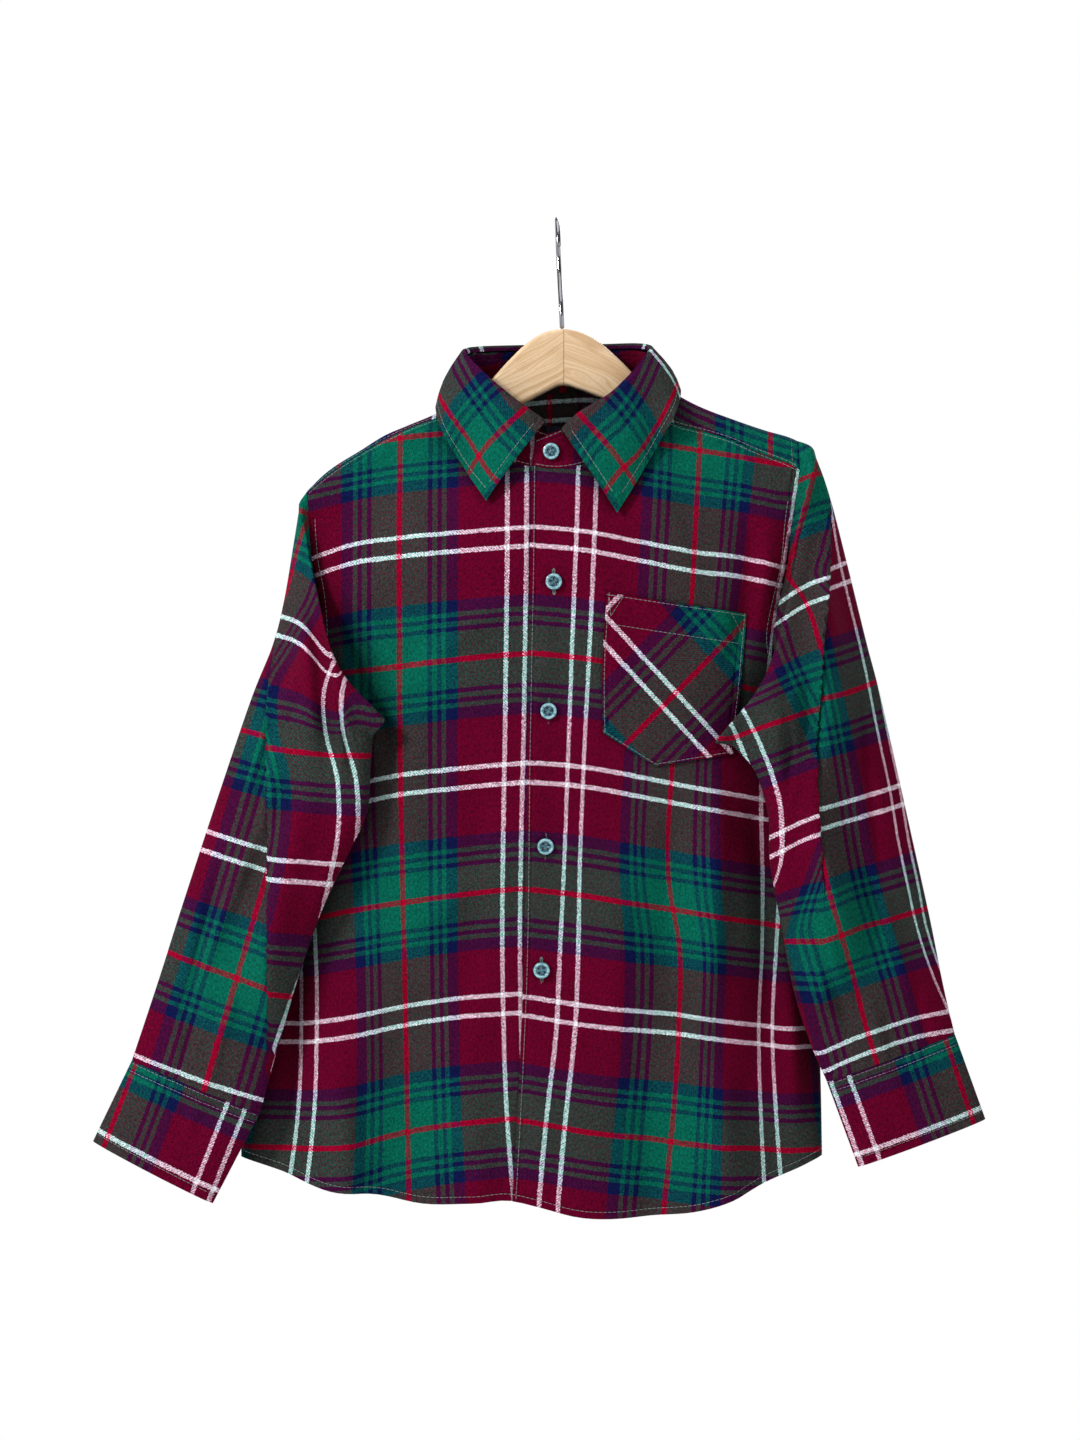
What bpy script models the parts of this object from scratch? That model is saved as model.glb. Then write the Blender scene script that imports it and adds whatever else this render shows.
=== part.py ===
"""Child's flannel shirt hanging on a flat wooden hanger with a wire hook.

Metres, +Z up, the shirt's front towards -Y. The origin is the seat of the hook,
where a rail or a wall hook carries the hanger. The tables are in millimetres.
Every cloth piece is a grid of points on the middle of its cloth, worked out from
the tables, and is then given its thickness along normals that it shares with its
neighbours, so that the pieces meet edge to edge with a narrow gap at each seam.
"""

import math

import bmesh
import bpy
import numpy as np
from mathutils import Matrix, Vector

# Driving dimensions, millimetres
MM = 0.001
CLOTH = 1.2              # thickness of one layer of cloth
SEAM_GAP = 0.32          # between two pieces at a seam
LAYER_GAP = 0.35         # between two layers that lie on each other
RIDGE_RADIUS = 9.0       # how the cloth rounds over the hanger's arm
NECK_RADIUS = 22.0       # how far the neck stands open, front and back
NECK_HALF_WIDTH = 55.0
SECTION_POWER = 2.6      # roundness of the body's section
DRAPE_DROP = 100.0       # height over which the cloth opens to its full depth
FRONT_LAP = 27.0         # how far one front lies over the other
BUTTON_SIZE = 11.2
CUFF_BUTTON_SIZE = 10.5
BUTTON_THICK = 2.4
BUTTON_GAP = 0.4         # between the cloth and a button
HANGER_THICK = 12.0
HANGER_ROUND = 2.6       # rounding of the wood's long edges
HOOK_WIRE = 3.2
HOOK_RADIUS = 20.6       # to the middle of the wire
HOOK_SHANK = 11.0        # straight wire above the wood
HOOK_SET = 0.3           # between the wood and the wire's foot
HOOK_START = -18.0       # degrees, where the arc begins
HOOK_SWEEP = 200.0       # degrees of the hook's arc
HOOK_BEND_STEPS = 5
HOOK_ARC_STEPS = 18

SIDE_FULLNESS = 0.35     # share of the ridge's rounding that the thin sides keep
FOLD_FADE_DEPTH = 14.0   # soft folds fade out where the body is shallower than this
FOLD_GROWTH = 2.2        # how soon a fold reaches its full height
LAP_REACH = 34.0         # how far from its edge a front starts to make room for the lap
LAP_EASE = 26.0          # over what width
BACK_BLEND = 0.4         # share of the back over which its columns close up towards the sides

PUFF = 7.0               # how far the sleeve stands out next to its seam
PUFF_LEAN = {-1: 62.0, 1: 30.0}   # degrees it leans forward, or back, half way down the armhole
PUFF_SINK = 0.5          # share of the puff that goes down at the underarm
PUFF_PLACE = 0.35        # where the puff is, in stations
BOW_PLACES = np.array([0.0, 0.4, 0.8, 1.0])
SLEEVE_ROUND = 1.2       # larger is flatter at the sleeve's edges
SLEEVE_CLEAR = 7.0       # from the middle of the body's cloth to that of the sleeve's
UNDERARM_REACH = 13.0    # the back of the sleeve passes the body from here above the underarm
UNDERARM_EASE = 12.0
SLEEVE_FOLD_FADE = 0.12  # share of the sleeve's length over which a fold starts and ends

CUFF_OUTER_Y = -20.0     # depth of a cuff's foot at its outer corner
CUFF_INNER_Y = -30.0
CUFF_FULL = 9.0          # half its opening
CUFF_LAP_COLUMNS = 3
CUFF_LAP_EASE = 0.35     # share of the lap's step that its neighbour column takes

STAND_CORNERS = (4.4, 11.6)   # places in STAND_TOP over the yoke's front corners
LEAF_CLEAR = 4.2         # from the body's cloth to the edge of the collar's leaf
LEAF_RISE = 8.0          # and more where the leaf turns over the shoulder
LEAF_TURN_X = 78.0       # where it turns
LEAF_TURN_WIDTH = 7.0
LEAF_TUCK = (1.4, 3.4)   # how far the inner line lies inside and below the fold
LEAF_SHOULDER = (2.2, 1.6)    # how far the outer line lies outside and below the fold
LEAF_ROLL = 3.0          # how round the leaf is from fold to edge
NECK_CENTRE = (0.0, -2.0)

POCKET_LIFT = 1.65       # from the middle of the front to the middle of the pocket
LABEL_LIFT = 1.75

# Columns and rows of the grids
ARM_ROWS = 9             # down an armhole below the yoke, in front
BACK_ARM_ROWS = 7        # and behind
SIDE_ROWS = 10           # down a side seam
NECK_COLUMNS = 6         # along a front neckline
SHOULDER_COLUMNS = 7     # along a front yoke seam
BACK_COLUMNS = 20
YOKE_NECK_COLUMNS = 17   # along the back neckline
YOKE_ROWS = np.array([0.0, 0.045, 0.09, 0.13, 0.17, 0.21, 0.25, 0.3, 0.38, 0.5, 0.66, 0.83, 1.0])
SLEEVE_ROWS = np.array([0.0, 0.02, 0.04, 0.056, 0.072, 0.09, 0.112, 0.155, 0.249, 0.343, 0.437, 0.531,
                        0.624, 0.718, 0.812, 0.906, 1.0])
CUFF_ROWS = 4
LEAF_COLUMNS = 36
LEAF_ROWS = np.array([0.25, 0.5, 0.75, 1.0])
BUTTON_SIDES = 16

FLANNEL = (0.06, 0.09, 0.12)
CLOTH_COLORS = {"pocket": (0.16, 0.05, 0.09), "neck_label": (0.01, 0.015, 0.05)}
PEARL = (0.03, 0.16, 0.24)
BEECH = (0.72, 0.55, 0.36)
STEEL = (0.62, 0.63, 0.65)

# Body sections: height, left and right side, depth in front and behind
BODY = np.array([
    # z       left    right  front  back
    (-100.0, -182.0, 182.0, 31.0, 26.0),
    (-180.0, -178.0, 174.0, 32.0, 27.0),
    (-250.0, -174.0, 166.0, 34.0, 29.0),
    (-322.0, -170.0, 160.5, 35.0, 31.0),
    (-400.0, -184.0, 165.0, 34.0, 31.0),
    (-460.0, -196.5, 169.3, 32.0, 30.0),
    (-555.0, -208.0, 176.0, 28.0, 27.0),
    (-630.0, -212.2, 177.6, 26.0, 24.0),
    (-680.0, -213.5, 178.0, 26.0, 24.0),
])

# The shoulder line, seen from the front: x, height of the cloth's ridge
RIDGE = np.array([
    (-186.0, -194.0), (-168.5, -182.0), (-157.7, -171.4), (-131.0, -153.6), (-115.7, -144.1),
    (-100.5, -137.6), (-78.8, -128.2), (-66.0, -120.5), (-40.0, -106.0), (0.0, -99.0),
    (40.0, -100.0), (66.0, -109.5), (78.1, -115.7), (91.7, -123.0), (119.0, -133.8),
    (139.4, -140.8), (159.7, -147.1), (168.5, -152.0), (186.0, -163.0),
])

# Front yoke seam, from neck to armhole: x, height
YOKE_SEAM_LEFT = np.array([(-64.0, -127.0), (-78.8, -132.2), (-97.0, -138.8), (-131.0, -156.2),
                           (-158.0, -174.6), (-167.6, -183.2)])
YOKE_SEAM_RIGHT = np.array([(62.0, -118.5), (67.5, -129.5), (75.8, -135.4), (97.4, -141.7), (116.5, -147.5),
                            (131.8, -154.2), (155.9, -163.8), (162.6, -167.2)])

# Front neckline, from the front edge to the yoke seam: x, height
NECK_LEFT = np.array([(9.0, -166.5), (-14.0, -167.0), (-34.0, -161.0), (-52.0, -146.0), (-64.0, -127.0)])
NECK_RIGHT = np.array([(-17.6, -165.5), (-4.0, -167.8), (20.0, -164.0), (44.0, -151.0), (57.5, -134.0),
                       (62.0, -118.5)])

# Back neckline, from the left yoke corner to the right: x, how far behind the ridge
NECK_BACK = np.array([(-64.0, -10.0), (-64.5, 0.0), (-59.0, 12.0), (-38.0, 22.0), (0.0, 27.0),
                      (38.0, 22.0), (57.0, 12.0), (62.0, 0.0), (62.0, -13.0)])

# Armholes below the yoke, front and back, down to the underarm: x, height
ARMHOLE_FRONT_LEFT = np.array([(-167.6, -183.2), (-166.6, -201.2), (-165.6, -218.0), (-163.3, -237.0),
                               (-160.4, -249.0), (-158.0, -272.0), (-159.0, -298.0), (-170.0, -322.0)])
ARMHOLE_BACK_LEFT = np.array([(-165.0, -219.0), (-164.0, -245.0), (-163.0, -272.0), (-164.0, -298.0),
                              (-170.0, -322.0)])
ARMHOLE_FRONT_RIGHT = np.array([(162.6, -167.2), (160.4, -184.0), (157.2, -204.0), (153.6, -234.0),
                                (147.2, -261.0), (144.0, -284.0), (148.5, -305.0), (160.5, -322.0)])
ARMHOLE_BACK_RIGHT = np.array([(158.0, -200.0), (155.0, -228.0), (152.5, -262.0), (154.0, -296.0),
                               (160.5, -322.0)])

# Back yoke seam: x, height
YOKE_SEAM_BACK = np.array([(-165.0, -219.0), (-80.0, -203.0), (0.0, -198.0), (80.0, -199.0),
                           (158.0, -200.0)])

# Edge of the upper front: height, x
FRONT_EDGE = np.array([(-162.0, -17.6), (-229.0, -18.4), (-348.0, -20.6), (-521.0, -23.4),
                       (-656.0, -30.3)])

# Height of the foot of each front's edge
FRONT_FOOT = {"left": -664.5, "right": -655.6}

# Hem of the fronts and of the back: x, height
HEM_FRONT = np.array([
    (-212.2, -628.4), (-185.6, -636.1), (-152.0, -649.0), (-121.2, -651.5), (-91.8, -657.4),
    (-56.9, -657.0), (-30.3, -655.6), (-12.3, -659.7), (12.2, -666.0), (68.5, -665.5),
    (91.4, -663.0), (113.2, -656.9), (139.1, -644.5), (163.7, -633.8), (177.6, -627.4),
])
HEM_BACK = np.array([(-212.2, -628.4), (-150.0, -641.0), (-60.0, -649.0), (20.0, -652.0),
                     (100.0, -648.0), (177.6, -627.4)])

# Soft folds of the body: side (-1 front, 1 back), x at top, x at foot, top, foot, half width, height
BODY_FOLDS = np.array([
    # side  x top   x foot  z top   z foot  width  proud
    (-1.0, -138.0, -152.0, -430.0, -700.0, 26.0, 6.0),
    (-1.0, -96.0, -112.0, -470.0, -700.0, 20.0, -4.0),
    (-1.0, 98.0, 106.0, -350.0, -700.0, 22.0, 5.5),
    (-1.0, 66.0, 66.0, -400.0, -700.0, 18.0, -3.5),
    (-1.0, 134.0, 142.0, -460.0, -700.0, 16.0, -5.0),
    (-1.0, 20.0, 14.0, -480.0, -700.0, 26.0, 3.0),
    (-1.0, -60.0, -58.0, -170.0, -420.0, 30.0, 2.5),
    (1.0, -110.0, -128.0, -260.0, -700.0, 24.0, 5.0),
    (1.0, -60.0, -78.0, -330.0, -700.0, 24.0, -4.5),
    (1.0, -10.0, -16.0, -250.0, -700.0, 28.0, 4.5),
    (1.0, 48.0, 46.0, -380.0, -700.0, 22.0, -4.0),
    (1.0, 102.0, 112.0, -290.0, -700.0, 24.0, 5.5),
])

# Sleeves, from the armhole to the cuff. Outer and inner edge of each station, seen from the front
SLEEVE_EDGES = {
    "left": np.array([
        # outer x, outer z, inner x, inner z
        (-172.3, -188.5, -121.8, -331.0),
        (-176.0, -212.0, -122.6, -347.0),
        (-183.0, -255.0, -124.0, -368.0),
        (-190.4, -285.0, -126.6, -396.7),
        (-204.5, -321.0, -139.0, -424.0),
        (-227.2, -388.4, -155.0, -458.0),
        (-250.0, -458.3, -171.0, -502.0),
        (-265.6, -508.0, -183.5, -544.0),
        (-283.6, -562.4, -198.4, -596.6),
    ]),
    "right": np.array([
        (174.2, -160.5, 111.4, -346.0),
        (183.3, -187.0, 116.6, -352.5),
        (195.8, -237.0, 131.0, -369.5),
        (207.2, -284.5, 139.6, -398.0),
        (216.6, -322.0, 141.0, -430.0),
        (236.2, -411.0, 149.0, -474.0),
        (248.6, -468.0, 156.0, -510.0),
        (257.4, -513.0, 165.5, -542.0),
        (264.9, -545.0, 179.6, -575.6),
    ]),
}

# How each station bends: front and back bows near and far from the outer edge, towards the outside,
# depth of the outer and the inner edge, and how full the front and the back are
SLEEVE_FORM = np.array([
    # front near, far, back near, far, y outer, y inner, full front, full back
    (9.0, 11.0, 25.0, 48.0, -1.0, -42.0, 13.0, 33.0),
    (7.0, 8.0, 24.0, 42.0, -2.0, -44.0, 15.0, 33.0),
    (4.0, 4.0, 18.0, 28.0, -5.0, -44.0, 17.0, 31.0),
    (1.0, 1.0, 9.0, 12.0, -8.0, -43.0, 18.0, 26.0),
    (0.0, 0.0, 2.0, 3.0, -11.0, -42.0, 17.0, 20.0),
    (0.0, 0.0, 0.0, 0.0, -14.0, -40.0, 14.0, 14.0),
    (0.0, 0.0, 0.0, 0.0, -16.0, -36.0, 12.0, 12.0),
    (0.0, 0.0, 0.0, 0.0, -18.0, -33.0, 11.0, 11.0),
    (0.0, 0.0, 0.0, 0.0, -19.0, -31.0, 9.0, 9.0),
])

# Long folds of the sleeves: share of the way across at top and foot, share of the length where the
# fold starts and ends, half width as a share, how proud in millimetres
SLEEVE_FOLDS = {
    "left": np.array([
        (0.22, 0.90, 0.22, 0.92, 0.16, 4.0),
        (0.62, 0.40, 0.30, 0.80, 0.14, -3.0),
        (0.80, 0.70, 0.10, 0.42, 0.12, 3.0),
    ]),
    "right": np.array([
        (0.20, 0.86, 0.20, 0.90, 0.16, 4.0),
        (0.64, 0.38, 0.30, 0.80, 0.14, -3.0),
        (0.80, 0.72, 0.10, 0.42, 0.12, 3.0),
    ]),
}

# Cuffs: the outer and the inner corner of the lower edge
CUFF_FOOT = {"left": ((-309.6, -616.6), (-229.6, -656.4)), "right": ((285.3, -601.8), (200.4, -632.2))}

# Collar stations round the neck, from the under end at the centre front, round the back, to the
# over end: the leaf's fold, the leaf's outer edge (side -1 front, 1 back) and the stand's top
COLLAR_FOLD = np.array([
    # x      y      z
    (-8.0, -27.5, -136.0), (-25.2, -26.0, -123.8), (-45.1, -21.0, -107.2), (-57.0, -12.0, -95.0),
    (-62.4, -1.0, -86.6), (-54.0, 11.0, -83.2), (-30.0, 18.5, -81.6), (0.0, 21.0, -81.0),
    (30.0, 18.5, -80.8), (54.0, 11.0, -81.0), (62.6, -1.0, -84.4), (56.5, -12.0, -94.6),
    (46.5, -21.0, -106.8), (33.0, -26.0, -119.3), (15.0, -28.5, -130.2), (3.0, -29.5, -141.5),
])
COLLAR_EDGE = np.array([
    # x      z      side
    (-47.5, -189.5, -1.0), (-52.6, -181.8, -1.0), (-60.5, -170.0, -1.0), (-75.6, -145.5, -1.0),
    (-81.5, -124.6, 0.0), (-74.0, -131.0, 1.0), (-42.0, -130.5, 1.0), (0.0, -129.5, 1.0),
    (42.0, -128.0, 1.0), (73.0, -123.0, 1.0), (82.5, -112.6, 0.0), (79.0, -130.5, -1.0),
    (67.6, -151.0, -1.0), (57.5, -168.5, -1.0), (48.2, -184.2, -1.0), (39.6, -197.7, -1.0),
])
STAND_TOP = np.array([
    (8.5, -21.4, -146.0), (-12.0, -23.0, -142.0), (-28.0, -22.6, -128.5), (-44.5, -18.0, -112.6),
    (-55.5, -10.0, -100.5), (-60.2, -1.0, -91.5), (-52.0, 9.4, -87.6), (-29.0, 16.4, -86.0),
    (0.0, 18.8, -85.4), (29.0, 16.4, -85.2), (52.0, 9.4, -85.6), (60.2, -1.0, -89.4),
    (54.8, -10.0, -99.6), (44.6, -18.0, -112.0), (29.0, -23.4, -125.6), (8.3, -26.2, -138.6),
    (-14.6, -26.4, -148.4),
])

# Pocket corners: x, height, from the top outer corner of the slanted mouth round to the point
POCKET_TOP = ((32.7, -250.6), (79.0, -257.6), (126.4, -264.4))
POCKET_MIDDLE = ((29.6, -300.0), (75.0, -311.0), (121.8, -314.0))
POCKET_FOOT = ((30.2, -343.8), (64.8, -366.1), (116.7, -357.8))

# A button's profile from the axis at the back, round the rim, to the axis of the dished face:
# shares of its radius and of its thickness
BUTTON_PROFILE = ((0.0, 0.0), (0.84, 0.0), (1.0, 0.38), (0.91, 1.0), (0.73, 1.0), (0.59, 0.71), (0.0, 0.71))

# Middle of the label: x, height, and its width and height
LABEL_AT = (0.0, -139.5)
LABEL_SIZE = (15.0, 7.4)

# Buttons down the front: x, height
BUTTONS = ((-4.1, -156.4), (-2.4, -243.4), (-6.0, -329.2), (-8.0, -419.0), (-10.6, -501.4))

# The hanger's outline: x, top edge, lower edge
HANGER = np.array([
    # x      top     foot
    (-158.0, -180.0, -193.0), (-154.0, -173.6, -194.0), (-131.0, -157.4, -183.0),
    (-100.0, -141.0, -165.6), (-78.8, -132.6, -152.4), (-62.0, -125.2, -144.0),
    (-54.0, -117.8, -139.2), (-45.0, -107.4, -134.6), (-33.0, -94.0, -128.0), (-20.0, -81.6, -121.0),
    (-9.0, -75.0, -115.2), (3.3, -72.5, -110.0), (15.5, -74.5, -113.0), (27.0, -80.5, -117.4),
    (39.0, -90.5, -122.0), (50.0, -101.4, -126.6), (58.5, -111.8, -129.8), (66.0, -115.2, -132.4),
    (80.0, -121.3, -137.4), (100.0, -130.7, -145.4), (131.0, -142.2, -158.8), (153.0, -149.6, -168.6),
    (157.5, -154.6, -166.5),
])
# The outline's columns: from, to, how many
HANGER_COLUMNS = ((-154.0, -60.0, 7), (-45.0, 51.5, 13), (66.0, 153.0, 7))
HOOK_FOOT = (3.3, -72.5)


# ---------------------------------------------------------------- smooth tables

def spline(rows, at):
    """Points of a smooth curve through the rows, at shares 0 to 1 of its length."""
    rows = np.asarray(rows, dtype=float)
    at = np.atleast_1d(np.asarray(at, dtype=float))
    steps = np.linalg.norm(np.diff(rows[:, :3], axis=0), axis=1)
    knots = np.concatenate(([0.0], np.cumsum(steps)))
    return spline_at(rows, knots, at * knots[-1])


def spline_at(rows, knots, places):
    """Values of a smooth curve through rows that sit at the knots."""
    count = len(rows)
    if count == 2:
        share = ((places - knots[0]) / (knots[1] - knots[0]))[:, None]
        return rows[0] * (1.0 - share) + rows[1] * share
    gaps = np.diff(knots)[:, None]
    slopes = np.diff(rows, axis=0) / gaps
    tangents = np.empty_like(rows)
    tangents[1:-1] = (slopes[:-1] * gaps[1:] + slopes[1:] * gaps[:-1]) / (gaps[1:] + gaps[:-1])
    tangents[0] = 1.5 * slopes[0] - 0.5 * tangents[1]
    tangents[-1] = 1.5 * slopes[-1] - 0.5 * tangents[-2]
    index = np.clip(np.searchsorted(knots, places, side="right") - 1, 0, count - 2)
    gap = gaps[index]
    t = ((places - knots[index]) / gap[:, 0])[:, None]
    t2, t3 = t * t, t * t * t
    return ((2 * t3 - 3 * t2 + 1) * rows[index] + (t3 - 2 * t2 + t) * gap * tangents[index]
            + (3 * t2 - 2 * t3) * rows[index + 1] + (t3 - t2) * gap * tangents[index + 1])


def along(table, key, places, column):
    """A column of a table as a smooth function of its key column."""
    order = np.argsort(table[:, key])
    rows = table[order]
    shape = np.shape(places)
    places = np.clip(np.atleast_1d(places), rows[0, key], rows[-1, key])
    return spline_at(rows[:, [column]], rows[:, key], places.ravel())[:, 0].reshape(shape)


def smooth(value):
    """Smooth step from 0 to 1."""
    value = np.clip(value, 0.0, 1.0)
    return value * value * (3.0 - 2.0 * value)


def arch(share):
    """Half a circle's height over shares 0 to 1, at most 1."""
    return np.sqrt(np.clip(4.0 * share * (1.0 - share), 0.0, 1.0))


def mix(a, b, share):
    return a + (b - a) * share


# ---------------------------------------------------------------- the body's surface

def ridge_height(x):
    return along(RIDGE, 0, x, 1)


def ridge_radius(x):
    return RIDGE_RADIUS + (NECK_RADIUS - RIDGE_RADIUS) * np.exp(-(np.abs(x) / NECK_HALF_WIDTH) ** 4)


def section_depth(x, z, side, proud=0.0):
    """Depth of the hanging body at x and height z, on one side (-1 front, 1 back)."""
    left = along(BODY, 0, z, 1) - proud
    right = along(BODY, 0, z, 2) + proud
    full = along(BODY, 0, z, 3 if side < 0 else 4) + proud
    across = np.clip(np.abs((x - (left + right) / 2.0) / ((right - left) / 2.0)), 0.0, 1.0)
    return full * (1.0 - across ** SECTION_POWER) ** (1.0 / SECTION_POWER)


def fold_height(x, z, side):
    """How far the body's soft folds stand proud."""
    total = np.zeros(np.broadcast(x, z).shape)
    for row_side, x_top, x_foot, z_top, z_foot, width, proud in BODY_FOLDS:
        if row_side != side:
            continue
        share = (z_top - z) / (z_top - z_foot)
        centre = mix(x_top, x_foot, share)
        total += proud * smooth(share * FOLD_GROWTH) * np.exp(-((x - centre) / width) ** 2)
    return total


def body_y(x, z, side):
    """The body's surface as seen from the front or the back: y for a point at x and height z."""
    x, z = np.asarray(x, dtype=float), np.asarray(z, dtype=float)
    radius = ridge_radius(x)
    drop = np.maximum(ridge_height(x) - z, 0.0)
    over = np.sqrt(np.maximum(radius ** 2 - (radius - np.minimum(drop, radius)) ** 2, 0.0))
    section = section_depth(x, z, side)
    open_share = smooth((drop - radius) / DRAPE_DROP)
    depth = np.where(drop < radius, over, mix(radius, section, open_share))
    depth = np.minimum(depth, np.maximum(section, over * SIDE_FULLNESS))
    edge = np.clip(section / FOLD_FADE_DEPTH, 0.0, 1.0)
    return side * (depth + fold_height(x, z, side) * edge * open_share)


def ridge_point(x, way):
    """A point of the yoke: x, and the way along the cloth behind (or before) the ridge."""
    x, way = np.asarray(x, dtype=float), np.asarray(way, dtype=float)
    radius = ridge_radius(x)
    turn = radius * math.pi / 2.0
    angle = np.minimum(np.abs(way), turn) / radius
    drop = radius * (1.0 - np.cos(angle)) + np.maximum(np.abs(way) - turn, 0.0)
    z = ridge_height(x) - drop
    y = np.where(way < 0.0, body_y(x, z, -1), body_y(x, z, 1))
    return np.stack([x, y, z], axis=-1)


def way_from_ridge(x, z):
    """The way along the cloth from the ridge down to height z."""
    radius = ridge_radius(x)
    drop = np.maximum(ridge_height(x) - z, 0.0)
    near = radius * np.arccos(np.clip(1.0 - drop / radius, -1.0, 1.0))
    return np.where(drop < radius, near, radius * math.pi / 2.0 + drop - radius)


# ---------------------------------------------------------------- grids of the cloth pieces

def coons(top, foot, start, end, across, down):
    """A patch between four border curves, with the given shares across and down."""
    across, down = across[:, None, None], down[None, :, None]
    sides = start[None] * (1.0 - across) + end[None] * across
    ends = top[:, None] * (1.0 - down) + foot[:, None] * down
    corners = ((top[0] * (1.0 - across) + top[-1] * across) * (1.0 - down)
               + (foot[0] * (1.0 - across) + foot[-1] * across) * down)
    return sides + ends - corners


def shares(count):
    return np.linspace(0.0, 1.0, count + 1)


def side_seam(hand):
    """The side seam, from the underarm to the hem, in x and z."""
    column = 1 if hand == "left" else 2
    top = (ARMHOLE_FRONT_LEFT if hand == "left" else ARMHOLE_FRONT_RIGHT)[-1, 1]
    foot = HEM_FRONT[0, 1] if hand == "left" else HEM_FRONT[-1, 1]
    z = mix(top, foot, shares(SIDE_ROWS))
    return np.stack([along(BODY, 0, z, column), z], axis=-1)


def join(first, second):
    """Two curves that meet, as one."""
    return np.concatenate([first[:-1], second])


def front_outline(hand):
    """Borders of a front piece: top, hem, front edge, side, in x and z."""
    neck = NECK_LEFT if hand == "left" else NECK_RIGHT
    seam = YOKE_SEAM_LEFT if hand == "left" else YOKE_SEAM_RIGHT
    armhole = ARMHOLE_FRONT_LEFT if hand == "left" else ARMHOLE_FRONT_RIGHT
    top = join(spline(neck, shares(NECK_COLUMNS)), spline(seam, shares(SHOULDER_COLUMNS)))
    side = join(spline(armhole, shares(ARM_ROWS)), side_seam(hand))
    rows = len(side) - 1
    edge_z = mix(top[0, 1], FRONT_FOOT[hand], shares(rows))
    lap = FRONT_LAP if hand == "left" else 0.0
    edge = np.stack([along(FRONT_EDGE, 0, edge_z, 1) + lap, edge_z], axis=-1)
    edge[0] = top[0]
    spread = np.sin(shares(NECK_COLUMNS + SHOULDER_COLUMNS) * math.pi / 2.0)
    hem_x = mix(edge[-1, 0], side[-1, 0], spread)
    hem = np.stack([hem_x, along(HEM_FRONT, 0, hem_x, 1)], axis=-1)
    edge[-1] = hem[0]
    return top, hem, edge, side, spread


def arc_shares(curve):
    steps = np.linalg.norm(np.diff(curve, axis=0), axis=1)
    total = np.concatenate(([0.0], np.cumsum(steps)))
    return total / total[-1]


def front_grid(hand):
    """The middle surface of a front piece, from the front edge to the side, top to hem."""
    top, hem, edge, side, spread = front_outline(hand)
    flat = coons(top, hem, edge, side, spread, arc_shares(side))
    x, z = flat[..., 0], flat[..., 1]
    y = body_y(x, z, -1)
    edge_x = along(FRONT_EDGE, 0, z, 1)
    layer = (CLOTH + LAYER_GAP) / 2.0
    if hand == "left":
        y = y + layer * smooth((x - edge_x + LAP_REACH) / LAP_EASE)
    else:
        y = y - layer * smooth((edge_x + FRONT_LAP + LAP_REACH - x) / LAP_EASE)
    return np.stack([x, y, z], axis=-1)


def back_grid():
    """The middle surface of the back, from the left side to the right, yoke to hem."""
    even = shares(BACK_COLUMNS)
    spread = (1.0 - np.cos(even * math.pi)) / 2.0
    x_top = mix(YOKE_SEAM_BACK[0, 0], YOKE_SEAM_BACK[-1, 0], even)
    top = np.stack([x_top, along(YOKE_SEAM_BACK, 0, x_top, 1)], axis=-1)
    left = join(spline(ARMHOLE_BACK_LEFT, shares(BACK_ARM_ROWS)), side_seam("left"))
    right = join(spline(ARMHOLE_BACK_RIGHT, shares(BACK_ARM_ROWS)), side_seam("right"))
    hem_x = mix(left[-1, 0], right[-1, 0], spread)
    hem = np.stack([hem_x, along(HEM_BACK, 0, hem_x, 1)], axis=-1)
    down = arc_shares(left)
    flat = coons(top, hem, left, right, spread, down)
    blend = smooth(down / BACK_BLEND)[None, :]
    x_even = mix(flat[:1, :, 0], flat[-1:, :, 0], even[:, None])
    x_round = mix(flat[:1, :, 0], flat[-1:, :, 0], spread[:, None])
    x = mix(x_even, x_round, blend)
    z = flat[..., 1]
    return np.stack([x, body_y(x, z, 1), z], axis=-1)


def yoke_grid():
    """The middle surface of the yoke, from the left armhole to the right, front to back."""
    left = spline(YOKE_SEAM_LEFT, shares(SHOULDER_COLUMNS))[::-1]
    right = spline(YOKE_SEAM_RIGHT, shares(SHOULDER_COLUMNS))
    neck = spline(NECK_BACK, (1.0 - np.cos(shares(YOKE_NECK_COLUMNS) * math.pi)) / 2.0)
    neck[0] = (left[-1, 0], -way_from_ridge(*left[-1]))
    neck[-1] = (right[0, 0], -way_from_ridge(*right[0]))
    front = np.concatenate([
        np.stack([left[:-1, 0], -way_from_ridge(left[:-1, 0], left[:-1, 1])], axis=-1),
        neck[:-1],
        np.stack([right[:, 0], -way_from_ridge(right[:, 0], right[:, 1])], axis=-1),
    ])
    columns = len(front) - 1
    back_x = mix(YOKE_SEAM_BACK[0, 0], YOKE_SEAM_BACK[-1, 0], shares(columns))
    back_z = along(YOKE_SEAM_BACK, 0, back_x, 1)
    back = np.stack([back_x, way_from_ridge(back_x, back_z)], axis=-1)
    down = YOKE_ROWS[None, :, None]
    flat = front[:, None] * (1.0 - down) + back[:, None] * down
    return ridge_point(flat[..., 0], flat[..., 1])


# ---------------------------------------------------------------- sleeves

def armhole_loops(hand, front, back, yoke):
    """Points of the armhole from the shoulder ridge to the underarm, in front and behind."""
    edge = yoke[0] if hand == "left" else yoke[-1]
    drops = np.argmax(edge[:, 2])
    start = len(front[0]) - 1 - SIDE_ROWS
    front_arm = front[-1, :start + 1]
    column = back[0] if hand == "left" else back[-1]
    back_arm = column[:len(column) - SIDE_ROWS]
    return (np.concatenate([edge[drops::-1], front_arm[1:]]),
            np.concatenate([edge[drops:], back_arm[1:]]))


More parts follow.
